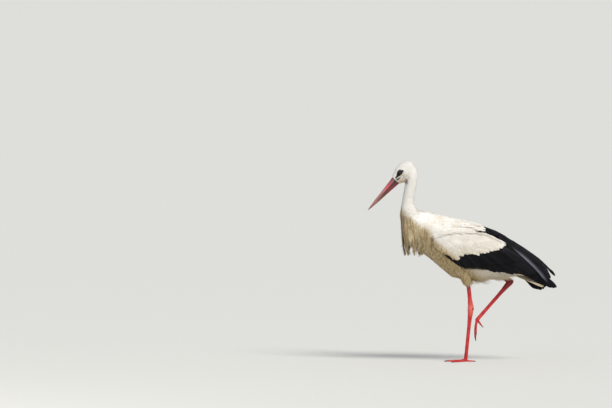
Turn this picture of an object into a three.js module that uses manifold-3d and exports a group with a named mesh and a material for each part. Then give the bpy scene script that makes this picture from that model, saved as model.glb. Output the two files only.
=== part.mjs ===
// A white stork, life size, walking: it stands on its left leg and swings the right one forward.
// Millimetres, +Z up. The bird faces -X, its left side is -Y, and the floor is Z = 0.
// The origin lies on the floor, under the sole of the standing foot.
import * as THREE from "three";
import { mergeVertices } from "three/addons/utils/BufferGeometryUtils.js";
import Module from "manifold-3d";

const wasm = await Module();
wasm.setup();

// ---- Driving dimensions -------------------------------------------------------------------

const GAP = 0.4; // clearance between neighbouring pieces
const BILL_LENGTH = 171; // from the feather edge to the tip
const BILL_DEPTH = 39; // at the feather edge
const BILL_WIDTH = 24;
const BILL_PITCH = 47; // degrees below the horizon
const BILL_BASE = new THREE.Vector3(-290.5, 0, 755.3); // centre of the bill at the feather edge
const HEAD_LENGTH = 98; // from the bill to the nape
const EYE_RADIUS = 8;
const SHANK_RADIUS = 7.4; // bare lower leg
const ANKLE_RADIUS = 12.5;
const TOES = [
  // spread in degrees from straight ahead, length to the claw, radius at the root
  { name: "inner", spread: 42, length: 60, radius: 5.2, inward: 1 },
  { name: "middle", spread: 2, length: 78, radius: 5.6, inward: 1 },
  { name: "outer", spread: 40, length: 68, radius: 5.2, inward: -1 },
  { name: "hind", spread: 176, length: 30, radius: 4.6, inward: 1 },
];
const CLAW_LENGTH = 12;
const FOOT_HEIGHT = 13; // centre of the joint where the toes meet, above the sole

// ---- Colours ------------------------------------------------------------------------------

const WHITE = { color: 0xf1ece2, roughness: 0.85, metalness: 0 };
const CREAM = { color: 0xcfc0a4, roughness: 0.9, metalness: 0 };
const BLACK = { color: 0x17161a, roughness: 0.55, metalness: 0 };
const RED_HORN = { color: 0x9a4a44, roughness: 0.45, metalness: 0 };
const RED_SKIN = { color: 0xb8302c, roughness: 0.55, metalness: 0 };
const DARK_HORN = { color: 0x4a3630, roughness: 0.5, metalness: 0 };
const EYE_BROWN = { color: 0x120c0a, roughness: 0.08, metalness: 0 };

// ---- Making and cutting shapes --------------------------------------------------------------

const Y = new THREE.Vector3(0, 1, 0);
const point = ([x, y, z]) => new THREE.Vector3(x, y, z);
const radians = THREE.MathUtils.degToRad;

// A closed body through stations: { at: [x, y, z], wide, high } are its centre and half sizes.
// "up" fixes the way that high points, or is left out for sections square to the centre line.
function loft(stations, { sides = 20, steps = 2, full = 2, up = null } = {}) {
  const path = new THREE.CatmullRomCurve3(stations.map((s) => point(s.at)), false, "centripetal");
  const sizes = stations.map((s) => new THREE.Vector3(s.wide, s.high, 0));
  const girth = new THREE.CatmullRomCurve3(sizes, false, "catmullrom", 0.35);
  const rings = (stations.length - 1) * steps;
  const geometry = new THREE.CylinderGeometry(1, 1, 1, sides, rings);
  const places = geometry.getAttribute("position");
  for (let i = 0; i < places.count; i += 1) {
    const along = THREE.MathUtils.clamp(0.5 - places.getY(i), 0, 1);
    const centre = path.getPoint(along);
    const half = girth.getPoint(along);
    const across = places.getX(i);
    const rise = places.getZ(i);
    const bulk = (Math.abs(across) ** full + Math.abs(rise) ** full) ** (1 / full) || 1;
    const tangent = path.getTangent(along);
    const high = up ? up.clone() : tangent.clone().cross(Y).normalize();
    const wide = up ? Y.clone() : high.clone().cross(tangent).normalize();
    const spot = centre
      .addScaledVector(wide, (across / bulk) * half.x)
      .addScaledVector(high, (rise / bulk) * half.y);
    places.setXYZ(i, spot.x, spot.y, spot.z);
  }
  return geometry;
}

// The same stations, made bigger all round, to cut clearance into a neighbour.
function grown(stations, by) {
  return stations.map((s) => ({ at: s.at, wide: s.wide + by, high: s.high + by }));
}

// The geometry on the other side of the bird's midplane.
function mirrored(geometry) {
  const other = geometry.clone().applyMatrix4(new THREE.Matrix4().makeScale(1, -1, 1));
  const corners = Array(other.attributes.position.count).keys();
  const index = [...(other.index ? other.index.array : corners)];
  for (let i = 0; i < index.length; i += 3) {
    [index[i + 1], index[i + 2]] = [index[i + 2], index[i + 1]];
  }
  return other.setIndex(index);
}

function solid(geometry) {
  const bare = geometry.clone();
  bare.deleteAttribute("normal");
  bare.deleteAttribute("uv");
  const merged = mergeVertices(bare, 1e-3);
  const mesh = new wasm.Mesh({
    numProp: 3,
    vertProperties: merged.getAttribute("position").array,
    triVerts: new Uint32Array(merged.index.array),
  });
  return new wasm.Manifold(mesh);
}

// The biggest body of a solid, without the slivers that a cut leaves.
function largest(cut) {
  return cut.decompose().sort((a, b) => b.volume() - a.volume())[0];
}

function geometryOf(cut) {
  const mesh = largest(cut).getMesh();
  const stride = mesh.numProp;
  const places = new Float32Array(mesh.numVert * 3);
  for (let i = 0; i < mesh.numVert; i += 1) {
    places.set(mesh.vertProperties.subarray(i * stride, i * stride + 3), i * 3);
  }
  return new THREE.BufferGeometry()
    .setAttribute("position", new THREE.BufferAttribute(places, 3))
    .setIndex(new THREE.BufferAttribute(mesh.triVerts, 1));
}

const stork = new THREE.Group();

function add(name, shape, finish) {
  const geometry = shape.isBufferGeometry ? shape : geometryOf(shape);
  geometry.computeVertexNormals();
  const mesh = new THREE.Mesh(geometry, new THREE.MeshStandardMaterial(finish));
  mesh.name = name;
  stork.add(mesh);
}

function box(low, high) {
  const size = point(high).sub(point(low));
  const middle = point(high).add(point(low)).multiplyScalar(0.5);
  const geometry = new THREE.BoxGeometry(size.x, size.y, size.z);
  return solid(geometry.translate(middle.x, middle.y, middle.z));
}

function ball(centre, radius, sides = 10) {
  const geometry = new THREE.SphereGeometry(radius, sides, sides / 2);
  return solid(geometry.translate(centre.x, centre.y, centre.z));
}

// A side-view outline, a THREE.Shape in x and z, through the left half of the bird.
const HALF_SPAN = 160;
function leftSlab(outline, curveSegments = 2) {
  const flat = new THREE.ExtrudeGeometry(outline, { depth: HALF_SPAN, bevelEnabled: false, curveSegments });
  return flat.rotateX(Math.PI / 2);
}

// Rounded feather tips along a line of the outline, each standing out by "depth" to the right.
function tips(outline, from, to, count, depth) {
  const step = new THREE.Vector2().subVectors(to, from).divideScalar(count);
  const out = new THREE.Vector2(step.y, -step.x).setLength(depth);
  for (let i = 0; i < count; i += 1) {
    const start = from.clone().addScaledVector(step, i);
    const end = start.clone().add(step);
    const bulge = start.clone().addScaledVector(step, 0.75).add(out);
    outline.quadraticCurveTo(bulge.x, bulge.y, end.x, end.y);
  }
}

// ---- Head, bill and eyes --------------------------------------------------------------------

const forward = new THREE.Vector3(-Math.cos(radians(BILL_PITCH)), 0, -Math.sin(radians(BILL_PITCH)));
const crownward = new THREE.Vector3(-Math.sin(radians(BILL_PITCH)), 0, Math.cos(radians(BILL_PITCH)));

// A place on the head: u ahead of the feather edge along the bill, v towards the crown.
function onHead(u, v, y = 0) {
  return BILL_BASE.clone().addScaledVector(forward, u).addScaledVector(crownward, v).setY(y);
}

const HEAD = [
  { u: 5, v: 0, wide: 9, high: 13 },
  { u: 0, v: 0.5, wide: 15, high: 21.5 },
  { u: -16, v: -1.5, wide: 21.5, high: 29.5 },
  { u: -34, v: 0, wide: 26, high: 34.5 },
  { u: -54, v: 0, wide: 28, high: 36 },
  { u: -72, v: -3, wide: 27, high: 33 },
  { u: -87, v: -8, wide: 21, high: 25 },
  { u: -95, v: -11, wide: 13, high: 14 },
  { u: -HEAD_LENGTH, v: -12, wide: 3, high: 3 },
].map((s) => ({ at: onHead(s.u, s.v).toArray(), wide: s.wide, high: s.high }));

// Share of the bill's base size that is left at shares of its length, tip first.
const BILL_TAPER = [
  { share: 1, wide: 0.07, deep: 0.04 },
  { share: 0.94, wide: 0.22, deep: 0.15 },
  { share: 0.68, wide: 0.42, deep: 0.44 },
  { share: 0.35, wide: 0.68, deep: 0.68 },
  { share: 0.1, wide: 0.92, deep: 0.9 },
  { share: 0, wide: 1, deep: 1 },
  { share: -0.07, wide: 0.95, deep: 0.96 },
];
const BILL = BILL_TAPER.map((s) => ({
  at: onHead(s.share * BILL_LENGTH, 0).toArray(),
  wide: (s.wide * BILL_WIDTH) / 2,
  high: (s.deep * BILL_DEPTH) / 2,
}));
const MOUTH_DROP = 2; // the mouth line runs this far below the bill's middle

const BILL_FINENESS = { sides: 16, steps: 1, full: 2.1 };
const billBody = solid(loft(BILL, BILL_FINENESS));
const billRoom = solid(loft(grown(BILL, GAP), BILL_FINENESS));

// The half space below the mouth line, turned to lie along the bill.
function belowMouth(clearance) {
  const depth = 80;
  const geometry = new THREE.BoxGeometry(400, 120, depth);
  geometry.rotateY(-radians(BILL_PITCH));
  const middle = onHead(BILL_LENGTH / 2, -MOUTH_DROP - depth / 2 + clearance);
  return solid(geometry.translate(middle.x, middle.y, middle.z));
}

const EYE_ALONG = -38;
const EYE_ABOVE = 12.5;
const EYE_APART = 19.6; // from the midplane to the eyeball's centre
const HEAD_FINENESS = { sides: 16, steps: 1 };
const eyeCentres = [-1, 1].map((side) => onHead(EYE_ALONG, EYE_ABOVE, side * EYE_APART));

const headWhole = solid(loft(HEAD, HEAD_FINENESS));

add("bill_upper", billBody.subtract(belowMouth(GAP / 2)), RED_HORN);
add("bill_lower", billBody.intersect(belowMouth(-GAP / 2)), RED_HORN);
add("eye_left", ball(eyeCentres[0], EYE_RADIUS), EYE_BROWN);
add("eye_right", ball(eyeCentres[1], EYE_RADIUS), EYE_BROWN);

// ---- Neck and trunk ---------------------------------------------------------------------------

const NECK = [
  { at: [-240, 0, 822], wide: 12, high: 10 },
  { at: [-230, 0, 806], wide: 20, high: 23.5 },
  { at: [-226, 0, 784], wide: 24, high: 26.5 },
  { at: [-225, 0, 762], wide: 25, high: 25.5 },
  { at: [-228.5, 0, 738], wide: 24, high: 25.5 },
  { at: [-234, 0, 710], wide: 22.5, high: 24.5 },
  { at: [-239.5, 0, 678], wide: 23, high: 24.5 },
  { at: [-241, 0, 653], wide: 26, high: 27.5 },
  { at: [-236, 0, 632], wide: 32, high: 37 },
  { at: [-226, 0, 608], wide: 38, high: 46 },
  { at: [-220, 0, 580], wide: 36, high: 44 },
];

const TRUNK = [
  { at: [-262, 0, 572], wide: 10, high: 18 },
  { at: [-252, 0, 572], wide: 28, high: 44 },
  { at: [-228, 0, 560], wide: 46, high: 68 },
  { at: [-192, 0, 545], wide: 60, high: 86 },
  { at: [-150, 0, 525], wide: 74, high: 96 },
  { at: [-100, 0, 498], wide: 84, high: 112 },
  { at: [-60, 0, 476], wide: 88, high: 124 },
  { at: [-20, 0, 468], wide: 88, high: 125 },
  { at: [20, 0, 461], wide: 85, high: 124 },
  { at: [60, 0, 450], wide: 78, high: 112 },
  { at: [100, 0, 444], wide: 68, high: 98 },
  { at: [150, 0, 430], wide: 54, high: 79 },
  { at: [200, 0, 410], wide: 38, high: 56 },
  { at: [240, 0, 388], wide: 24, high: 38 },
  { at: [258, 0, 376], wide: 10, high: 16 },
];
const UP = new THREE.Vector3(0, 0, 1);
const BACKWARD = new THREE.Vector3(1, 0, 0);

function trunkSolid(by) {
  return solid(loft(grown(TRUNK, by), { sides: 18, steps: 1, full: 2.15, up: UP }));
}
function neckSolid(by) {
  return solid(loft(grown(NECK, by), { sides: 14, steps: 1, up: BACKWARD }));
}

const trunk = trunkSolid(0);
const trunkRoom = trunkSolid(GAP);
const neck = neckSolid(0);
const neckRoom = neckSolid(GAP);
const eyeRoom = ball(eyeCentres[0], EYE_RADIUS + GAP).add(ball(eyeCentres[1], EYE_RADIUS + GAP));

// The neck meets the head just under the nape, along a plane square to the neck.
const aboveFloor = box([-600, -300, 0], [600, 300, 1200]);
const NAPE = 772;
const NECK_MIDDLE = 690;
const NECK_FOOT = 622;
const above = (z) => box([-600, -300, z + GAP / 2], [600, 300, 1200]);
const below = (z) => box([-600, -300, -100], [600, 300, z - GAP / 2]);

const headShape = headWhole.add(neck.intersect(above(NAPE - 14)));
const neckStem = neck.subtract(solid(loft(grown(HEAD, GAP), HEAD_FINENESS)));
add("head", headShape.subtract(billRoom).subtract(eyeRoom), WHITE);
add("neck_upper", neckStem.intersect(below(NAPE - 14)).intersect(above(NECK_MIDDLE)), WHITE);
add(
  "neck_lower",
  neckStem.intersect(below(NECK_MIDDLE)).intersect(above(NECK_FOOT)).subtract(trunkRoom),
  WHITE,
);

// ---- Legs ---------------------------------------------------------------------------------------

const LEGS = [
  {
    side: "left",
    inward: 1,
    knee: [-34, -50, 452],
    thighEnd: [10.5, -34, 313],
    ankle: [20, -25, 226],
    foot: [0, 0, FOOT_HEIGHT],
    hanging: false,
  },
  {
    side: "right",
    inward: -1,
    knee: [-22, 60, 470],
    thighEnd: [104, 50, 383],
    ankle: [185.5, 43, 330],
    foot: [48, 30, 173.5],
    hanging: true,
  },
];

// Share of the way from knee to feather end, and half sizes of the feathered thigh there.
const THIGH = [
  { share: 0, wide: 18, high: 30 },
  { share: 0.3, wide: 26, high: 36 },
  { share: 0.62, wide: 23, high: 30 },
  { share: 0.84, wide: 16, high: 19 },
  { share: 0.94, wide: 10.5, high: 11.5 },
  { share: 1, wide: 7.5, high: 7.5 },
];
const SOLE_PAD = { wide: 6, high: 6 }; // under the joint of the standing toes, at the origin
const TARSUS = [
  { share: -0.055, wide: 4.5, high: 6 },
  { share: -0.035, wide: 9.4, high: ANKLE_RADIUS * 0.88 },
  { share: 0.02, wide: 10.4, high: ANKLE_RADIUS },
  { share: 0.1, wide: 8.6, high: 10.4 },
  { share: 0.22, wide: 6.4, high: 8 },
  { share: 0.36, wide: 5.6, high: 6.8 },
  { share: 0.6, wide: 5.4, high: 6.5 },
  { share: 0.9, wide: 6, high: 6.6 },
  { share: 0.98, wide: 7.8, high: 7.2 },
  { share: 1.03, wide: 6, high: 5.8 },
];

function between(from, to, shares) {
  return shares.map((s) => ({
    at: point(from).lerp(point(to), s.share).toArray(),
    wide: s.wide,
    high: s.high,
  }));
}

// Stations of one toe. A standing toe lies on the floor; a hanging one droops from its root.
function toeStations(leg, toe) {
  const turn = radians(toe.spread);
  const isHind = toe.name === "hind";
  const heading = new THREE.Vector3(-Math.cos(turn), leg.inward * toe.inward * Math.sin(turn), 0);
  const steps = [0, 0.16, 0.34, 0.56, 0.8, 1];
  const place = point(leg.foot);
  let last = 0;
  return steps.map((share) => {
    const run = (share - last) * toe.length;
    last = share;
    const swell = 1 + 0.09 * Math.cos(share * 4 * Math.PI * 2);
    const radius = toe.radius * (1 - 0.42 * share) * swell;
    if (leg.hanging) {
      const pitch = radians(isHind ? 58 - 6 * share : 70 + 24 * share);
      const ahead = isHind ? -1 : 1;
      const sway = isHind ? 0.1 : Math.sin(turn) * 0.75;
      const fall = point([-ahead * Math.cos(pitch), heading.y < 0 ? -sway : sway, -Math.sin(pitch)]);
      place.addScaledVector(fall.normalize(), run);
    } else {
      place.addScaledVector(heading, run);
      const rest = radius - 0.8;
      place.z = THREE.MathUtils.lerp(FOOT_HEIGHT - 3, rest, Math.min(share / 0.3, 1) ** 0.8);
    }
    return { at: place.toArray(), wide: radius, high: radius * 0.92 };
  });
}

function clawStations(toe) {
  const tip = point(toe.at(-1).at);
  const run = tip.clone().sub(point(toe.at(-2).at)).normalize();
  const width = toe.at(-1).wide;
  const onFloor = tip.z < FOOT_HEIGHT;
  const sizes = [1.02, 0.92, 0.62, 0.22];
  return sizes.map((size, i) => {
    const spot = tip.clone().addScaledVector(run, CLAW_LENGTH * (i / 3) + GAP);
    if (onFloor) spot.z = tip.z * (1 - 0.22 * i) + 0.4;
    return { at: spot.toArray(), wide: width * size, high: width * size * 0.75 };
  });
}

let legsRoom = null; // what the wings keep clear of

for (const leg of LEGS) {
  const thighStations = between(leg.knee, leg.thighEnd, THIGH);
  const tarsusStations = between(leg.ankle, leg.foot, TARSUS);
  if (!leg.hanging) tarsusStations.push({ at: [0, 0, -2], ...SOLE_PAD });
  const shankTop = point(leg.thighEnd).lerp(point(leg.knee), 0.14).toArray();
  const shankStations = [
    { at: shankTop, wide: SHANK_RADIUS * 0.9, high: SHANK_RADIUS },
    { at: leg.thighEnd, wide: SHANK_RADIUS * 0.9, high: SHANK_RADIUS },
    ...between(leg.thighEnd, leg.ankle, [
      { share: 0.55, wide: SHANK_RADIUS * 0.92, high: SHANK_RADIUS * 1.05 },
      { share: 0.82, wide: SHANK_RADIUS * 1.1, high: SHANK_RADIUS * 1.35 },
      { share: 1, wide: SHANK_RADIUS * 1.3, high: SHANK_RADIUS * 1.6 },
    ]),
  ];
  const limb = (stations, by) => solid(loft(grown(stations, by), { sides: 10, steps: 1 }));
  const tarsus = limb(tarsusStations, 0).intersect(aboveFloor);
  const tarsusRoom = limb(tarsusStations, GAP);
  const shank = limb(shankStations, 0);
  const thigh = limb(thighStations, 0).subtract(trunkRoom).subtract(limb(shankStations, GAP));
  add(`thigh_${leg.side}`, thigh, WHITE);
  add(`shank_${leg.side}`, shank.subtract(tarsusRoom).subtract(trunkRoom), RED_SKIN);
  add(`tarsus_${leg.side}`, tarsus, RED_SKIN);

  const upperLeg = limb(thighStations, GAP).add(limb(shankStations, GAP)).add(tarsusRoom);
  legsRoom = legsRoom ? legsRoom.add(upperLeg) : upperLeg;

  let taken = tarsusRoom;
  for (const toe of TOES) {
    const stations = toeStations(leg, toe);
    const digit = (from, by) => solid(loft(grown(from, by), { sides: 7, steps: 1 }));
    const whole = digit(stations, 0).intersect(aboveFloor);
    add(`toe_${leg.side}_${toe.name}`, whole.subtract(taken), RED_SKIN);
    taken = taken.add(digit(stations, GAP));
    const claw = digit(clawStations(stations), 0).intersect(aboveFloor);
    add(`claw_${leg.side}_${toe.name}`, claw.subtract(taken), DARK_HORN);
    taken = taken.add(digit(clawStations(stations), GAP));
  }
}
// ---- Wings: a shell over each side of the trunk, cut into its groups of feathers -------------

const WING_FRONT = [
  { at: [-150, -60, 512], wide: 10, high: 16 },
  { at: [-136, -66, 508], wide: 20, high: 36 },
  { at: [-100, -70, 497], wide: 25, high: 62 },
  { at: [-50, -72, 482], wide: 29, high: 80 },
  { at: [0, -72, 470], wide: 30, high: 88 },
  { at: [50, -69, 466], wide: 29, high: 90 },
  { at: [100, -61, 455], wide: 27, high: 90 },
  { at: [150, -51, 440], wide: 24, high: 84 },
  { at: [200, -42, 420], wide: 20, high: 70 },
];
// The left wing's tip reaches past the tail; the right one is folded tighter and hangs steeper.
const WING_REAR = {
  left: [
    { at: [250, -35, 402], wide: 16, high: 58 },
    { at: [300, -29, 378], wide: 12, high: 50 },
    { at: [345, -25, 344], wide: 9, high: 36 },
    { at: [378, -22, 308], wide: 4, high: 12 },
  ],
  right: [
    { at: [240, -36, 396], wide: 17, high: 60 },
    { at: [276, -31, 362], wide: 13, high: 58 },
    { at: [304, -27, 330], wide: 9, high: 36 },
    { at: [330, -24, 306], wide: 4, high: 12 },
  ],
};

const WING_FINENESS = { sides: 14, steps: 1, up: UP };

function vec(x, z) {
  return new THREE.Vector2(x, z);
}

// Where each wing's folded primaries end in side view, as x and z: the bend of the lower edge,
// the row of tips, and the upper edge.
const WING_TIPS = {
  left: {
    bend: [300, 346],
    row: [vec(343, 309), vec(376, 307)],
    upper: [362, 352, 332, 392],
    top: [312, 420, 270, 420],
  },
  right: {
    bend: [272, 352],
    row: [vec(292, 301), vec(325, 313)],
    upper: [322, 350, 294, 385],
    top: [280, 418, 240, 420],
  },
};

// Side-view outlines of the feather groups of one folded wing, from the shoulder to the tip.
// "tuck" draws the secondaries forward, as on a wing that is folded more tightly.
function wingOutlines(side, tuck) {
  const shoulder = vec(-152, 520);
  const grooveEnd = vec(176, 492);
  const covertsCorner = vec(-46, 424);

  const coverts = new THREE.Shape();
  coverts.moveTo(shoulder.x, shoulder.y);
  coverts.quadraticCurveTo(-136, 470, -76, 438);
  coverts.lineTo(covertsCorner.x, covertsCorner.y);
  tips(coverts, covertsCorner, vec(-2, 438), 2, 8);
  coverts.lineTo(2, 454);
  tips(coverts, vec(2, 454), vec(108, 460), 5, 9);
  tips(coverts, vec(108, 460), grooveEnd, 3, 8);
  coverts.bezierCurveTo(120, 540, 40, 552, -40, 545);
  coverts.quadraticCurveTo(-120, 538, shoulder.x, shoulder.y);

  const greater = new THREE.Shape();
  greater.moveTo(-84, 446);
  greater.lineTo(-48, 418);
  greater.lineTo(-8, 389);
  tips(greater, vec(-8, 389), vec(196, 420), 5, 8);
  greater.lineTo(grooveEnd.x + 6, grooveEnd.y - 4);
  greater.lineTo(60, 500);
  greater.lineTo(-84, 446);

  const secondaries = new THREE.Shape();
  secondaries.moveTo(0, 440);
  secondaries.lineTo(-4, 391);
  tips(secondaries, vec(-4, 391), vec(96, 386), 2, 7);
  tips(secondaries, vec(96, 386), vec(262 - tuck, 362), 4, 8);
  tips(secondaries, vec(262 - tuck, 362), vec(290 - tuck, 432), 2, 8);
  secondaries.quadraticCurveTo(220, 478, 160, 500);
  secondaries.lineTo(0, 440);

  const primaries = new THREE.Shape();
  primaries.moveTo(180, 420);
  primaries.lineTo(200, 372);
  const { bend, row, upper, top } = WING_TIPS[side];
  primaries.quadraticCurveTo(...bend, row[0].x, row[0].y);
  tips(primaries, row[0], row[1], 2, 7);
  primaries.quadraticCurveTo(...upper);
  primaries.quadraticCurveTo(...top);
  primaries.lineTo(180, 420);

  return { coverts, greater, secondaries, primaries };
}

const LAYER = 4; // each deeper group of feathers starts this far under the one over it
const RIGHT_TUCK = 34; // the right wing is folded more tightly

// The room that a group takes in side view from the groups below and behind it.
function roomOf(outline, place) {
  const slab = leftSlab(outline);
  const lower = (x) => solid(place(slab.clone().translate(x, 0, -GAP)));
  return solid(place(slab.clone())).add(lower(GAP)).add(lower(-GAP));
}

// The trunk-side clearance and the groups over it are cut away from each group in turn.
function addWing(side, tuck, place) {
  const outline = wingOutlines(side, tuck);
  let taken = trunkRoom.add(legsRoom);
  const layers = { coverts: 0, greater: LAYER / 2, secondaries: LAYER, primaries: LAYER * 1.4 };
  for (const [group, depth] of Object.entries(layers)) {
    const whole = [...WING_FRONT, ...WING_REAR[side]];
    const stations = whole.map((s) => ({ ...s, wide: Math.max(s.wide - depth, 3) }));
    const shell = solid(place(loft(stations, WING_FINENESS)));
    const slab = solid(place(leftSlab(outline[group])));
    add(`wing_${side}_${group}`, shell.intersect(slab).subtract(taken), group === "coverts" ? WHITE : BLACK);
    taken = taken.add(roomOf(outline[group], place));
  }
}

addWing("left", 0, (geometry) => geometry);
addWing("right", RIGHT_TUCK, mirrored);
const shellRoom = (side) => loft(grown([...WING_FRONT, ...WING_REAR[side]], GAP), WING_FINENESS);
const wingsRoom = solid(shellRoom("left")).add(solid(mirrored(shellRoom("right"))));

// ---- Scapulars: the feathers that roof the back, white in front and black behind --------------

const SCAPULARS = [
  { at: [-124, -44, 574], wide: 12, high: 10 },
  { at: [-100, -44, 566], wide: 25, high: 24 },
  { at: [-60, -43, 555], wide: 34, high: 32 },
  { at: [0, -38, 549], wide: 39, high: 36 },
  { at: [50, -34, 541], wide: 37, high: 34 },
  { at: [85, -30, 532], wide: 32, high: 28 },
  { at: [125, -25, 519], wide: 26, high: 25 },
  { at: [165, -20, 500], wide: 21, high: 21 },
  { at: [205, -16, 475], wide: 16, high: 16 },
  { at: [230, -12, 460], wide: 10, high: 9 },
  { at: [240, -10, 454], wide: 4, high: 3 },
];
const WHITE_SCAPULARS_END = 78;

const scapularOutline = new THREE.Shape();
scapularOutline.moveTo(-200, 700);
scapularOutline.lineTo(WHITE_SCAPULARS_END, 700);
tips(scapularOutline, vec(WHITE_SCAPULARS_END, 640), vec(WHITE_SCAPULARS_END - 22, 480), 7, -9);
scapularOutline.lineTo(-200, 480);
scapularOutline.lineTo(-200, 700);

const leftHalf = box([-600, -300, -100], [600, -GAP / 2, 1200]);
const rightHalf = box([-600, GAP / 2, -100], [600, 300, 1200]);

function addScapulars(side, half, place) {
  const shell = solid(place(loft(SCAPULARS, { sides: 14, steps: 1, up: UP })))
    .intersect(half)
    .subtract(trunkRoom)
    .subtract(wingsRoom);
  const whitePart = solid(place(leftSlab(scapularOutline)));
  add(`scapulars_${side}`, shell.intersect(whitePart), WHITE);
  add(`long_scapulars_${side}`, shell.subtract(whitePart.translate([1.5 * GAP, 0, 0])), BLACK);
}

addScapulars("left", leftHalf, (geometry) => geometry);
addScapulars("right", rightHalf, mirrored);

// ---- Breast plumes: long narrow feathers that hang from the foot of the neck -------------------

const PLUMES = [
  { at: [-243, 0, 652], wide: 27, high: 28.5 },
  { at: [-238, 0, 630], wide: 34, high: 36 },
  { at: [-234, 0, 600], wide: 41, high: 41 },
  { at: [-230, 0, 560], wide: 46, high: 42 },
  { at: [-223, 0, 520], wide: 48, high: 42 },
  { at: [-217, 0, 485], wide: 46, high: 40 },
  { at: [-214, 0, 465], wide: 42, high: 35 },
];
const LOCKS = 7;
const LOCK_LENGTH = 46;
const LOCK_RADIUS = 10;
const LOCK_RING = 34; // the front lock hangs this far ahead of the plumes' middle
const PLUMES_TOP = 622;

function lock(angle, drop) {
  const x = -214 - LOCK_RING * Math.cos(angle);
  const y = 36 * Math.sin(angle);
  const top = 484;
  return solid(
    loft(
      [
        { at: [x, y, top], wide: LOCK_RADIUS, high: LOCK_RADIUS },
        { at: [x + 1, y, top - LOCK_LENGTH * 0.5], wide: LOCK_RADIUS * 0.7, high: LOCK_RADIUS * 0.6 },
        { at: [x + 3, y, top - LOCK_LENGTH + drop], wide: 1.2, high: 1.2 },
      ],
      { sides: 5, steps: 1, up: BACKWARD },
    ),
  );
}

let plumes = solid(loft(PLUMES, { sides: 16, steps: 1, full: 2.1, up: BACKWARD }));
for (let i = 0; i < LOCKS; i += 1) {
  const angle = radians(-126 + (252 * i) / (LOCKS - 1));
  plumes = plumes.add(lock(angle, (i % 3) * 5));
}
plumes = plumes.intersect(below(PLUMES_TOP)).subtract(trunkRoom);
add("breast_plumes", plumes, CREAM);

// ---- Trunk, parted into mantle, breast and belly -----------------------------------------------

const MANTLE_FLOOR = 540;
const BREAST_END = -70;
const behindPlane = (x) => box([x + GAP / 2, -300, -100], [600, 300, 1200]);
const beforePlane = (x) => box([-600, -300, -100], [x - GAP / 2, 300, 1200]);
add("mantle", trunk.intersect(above(MANTLE_FLOOR)), WHITE);
add("breast", trunk.intersect(below(MANTLE_FLOOR)).intersect(beforePlane(BREAST_END)), CREAM);

// ---- Tail ---------------------------------------------------------------------------------------

const TAIL = [
  { at: [188, 0, 376], wide: 16, high: 14 },
  { at: [215, 0, 364], wide: 26, high: 13 },
  { at: [255, 0, 352], wide: 34, high: 10 },
  { at: [300, 0, 336], wide: 39, high: 6.5 },
  { at: [334, 0, 325], wide: 42, high: 3 },
];
const TAIL_FEATHERS = 12;
const tailPlan = new THREE.Shape();
tailPlan.moveTo(150, 60);
tailPlan.lineTo(318, 60);
tips(tailPlan, vec(318, 42), vec(318, -42), TAIL_FEATHERS, -9);
tailPlan.lineTo(318, -60);
tailPlan.lineTo(150, -60);
tailPlan.lineTo(150, 60);
const tailPlanSlab = solid(
  new THREE.ExtrudeGeometry(tailPlan, {
    depth: 300,
    bevelEnabled: false,
    curveSegments: 2,
  }).translate(0, 0, 200),
);
const tail = solid(loft(TAIL, { sides: 14, steps: 1, up: UP })).intersect(tailPlanSlab);
add("tail", tail.subtract(trunkRoom).subtract(wingsRoom), WHITE);

add("belly", trunk.intersect(below(MANTLE_FLOOR)).intersect(behindPlane(BREAST_END)), WHITE);

export default stork;
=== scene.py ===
"""A white stork, life size, walking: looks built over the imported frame.

Metres, +Z up. The bird faces -X, its left side is -Y, the floor is Z = 0.
Lengths written in millimetres are turned into metres by mm() or MM.
"""

import itertools
import math
from collections import namedtuple

import bpy
import numpy as np
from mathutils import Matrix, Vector
from mathutils.bvhtree import BVHTree


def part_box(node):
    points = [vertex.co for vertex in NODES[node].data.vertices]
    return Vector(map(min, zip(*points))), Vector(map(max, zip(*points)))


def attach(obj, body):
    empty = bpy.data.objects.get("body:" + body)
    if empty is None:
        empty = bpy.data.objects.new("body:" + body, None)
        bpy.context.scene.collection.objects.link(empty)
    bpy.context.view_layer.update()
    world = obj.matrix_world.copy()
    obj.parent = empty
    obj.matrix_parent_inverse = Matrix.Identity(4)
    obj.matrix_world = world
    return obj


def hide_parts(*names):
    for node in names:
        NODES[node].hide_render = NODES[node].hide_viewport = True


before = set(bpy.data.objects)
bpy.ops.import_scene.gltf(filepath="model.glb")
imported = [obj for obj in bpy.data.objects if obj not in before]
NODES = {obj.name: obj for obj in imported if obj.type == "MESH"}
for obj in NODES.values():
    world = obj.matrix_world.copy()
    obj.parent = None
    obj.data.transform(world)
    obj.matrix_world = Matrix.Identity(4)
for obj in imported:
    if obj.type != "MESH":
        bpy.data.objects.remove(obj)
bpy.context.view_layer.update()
MM = 0.001
SEEDS = {"body": 11, "left": 23, "right": 29, "scapulars": 31, "tail": 37}


def mm(*values):
    """Millimetres as metres: one number, or a Vector of three."""
    return values[0] * MM if len(values) == 1 else Vector(values) * MM


# ---- Scene helpers ----


def activate(piece=None):
    """Make the piece the only selected one, or select nothing."""
    if bpy.context.mode != "OBJECT":
        bpy.ops.object.mode_set(mode="OBJECT")
    bpy.ops.object.select_all(action="DESELECT")
    if piece:
        piece.select_set(True)
        bpy.context.view_layer.objects.active = piece


def modify(piece, kind, name, **settings):
    """Add a modifier and apply it."""
    activate(piece)
    modifier = piece.modifiers.new(name, kind)
    for key, value in settings.items():
        setattr(modifier, key, value)
    bpy.ops.object.modifier_apply(modifier=name)


def edit(piece, *steps):
    """Run the steps in edit mode, on everything in the piece."""
    activate(piece)
    bpy.ops.object.mode_set(mode="EDIT")
    for step in steps:
        bpy.ops.mesh.select_all(action="SELECT")
        step()
    bpy.ops.object.mode_set(mode="OBJECT")


def add_object(name, mesh):
    piece = bpy.data.objects.new(name, mesh)
    bpy.context.scene.collection.objects.link(piece)
    return piece


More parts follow.
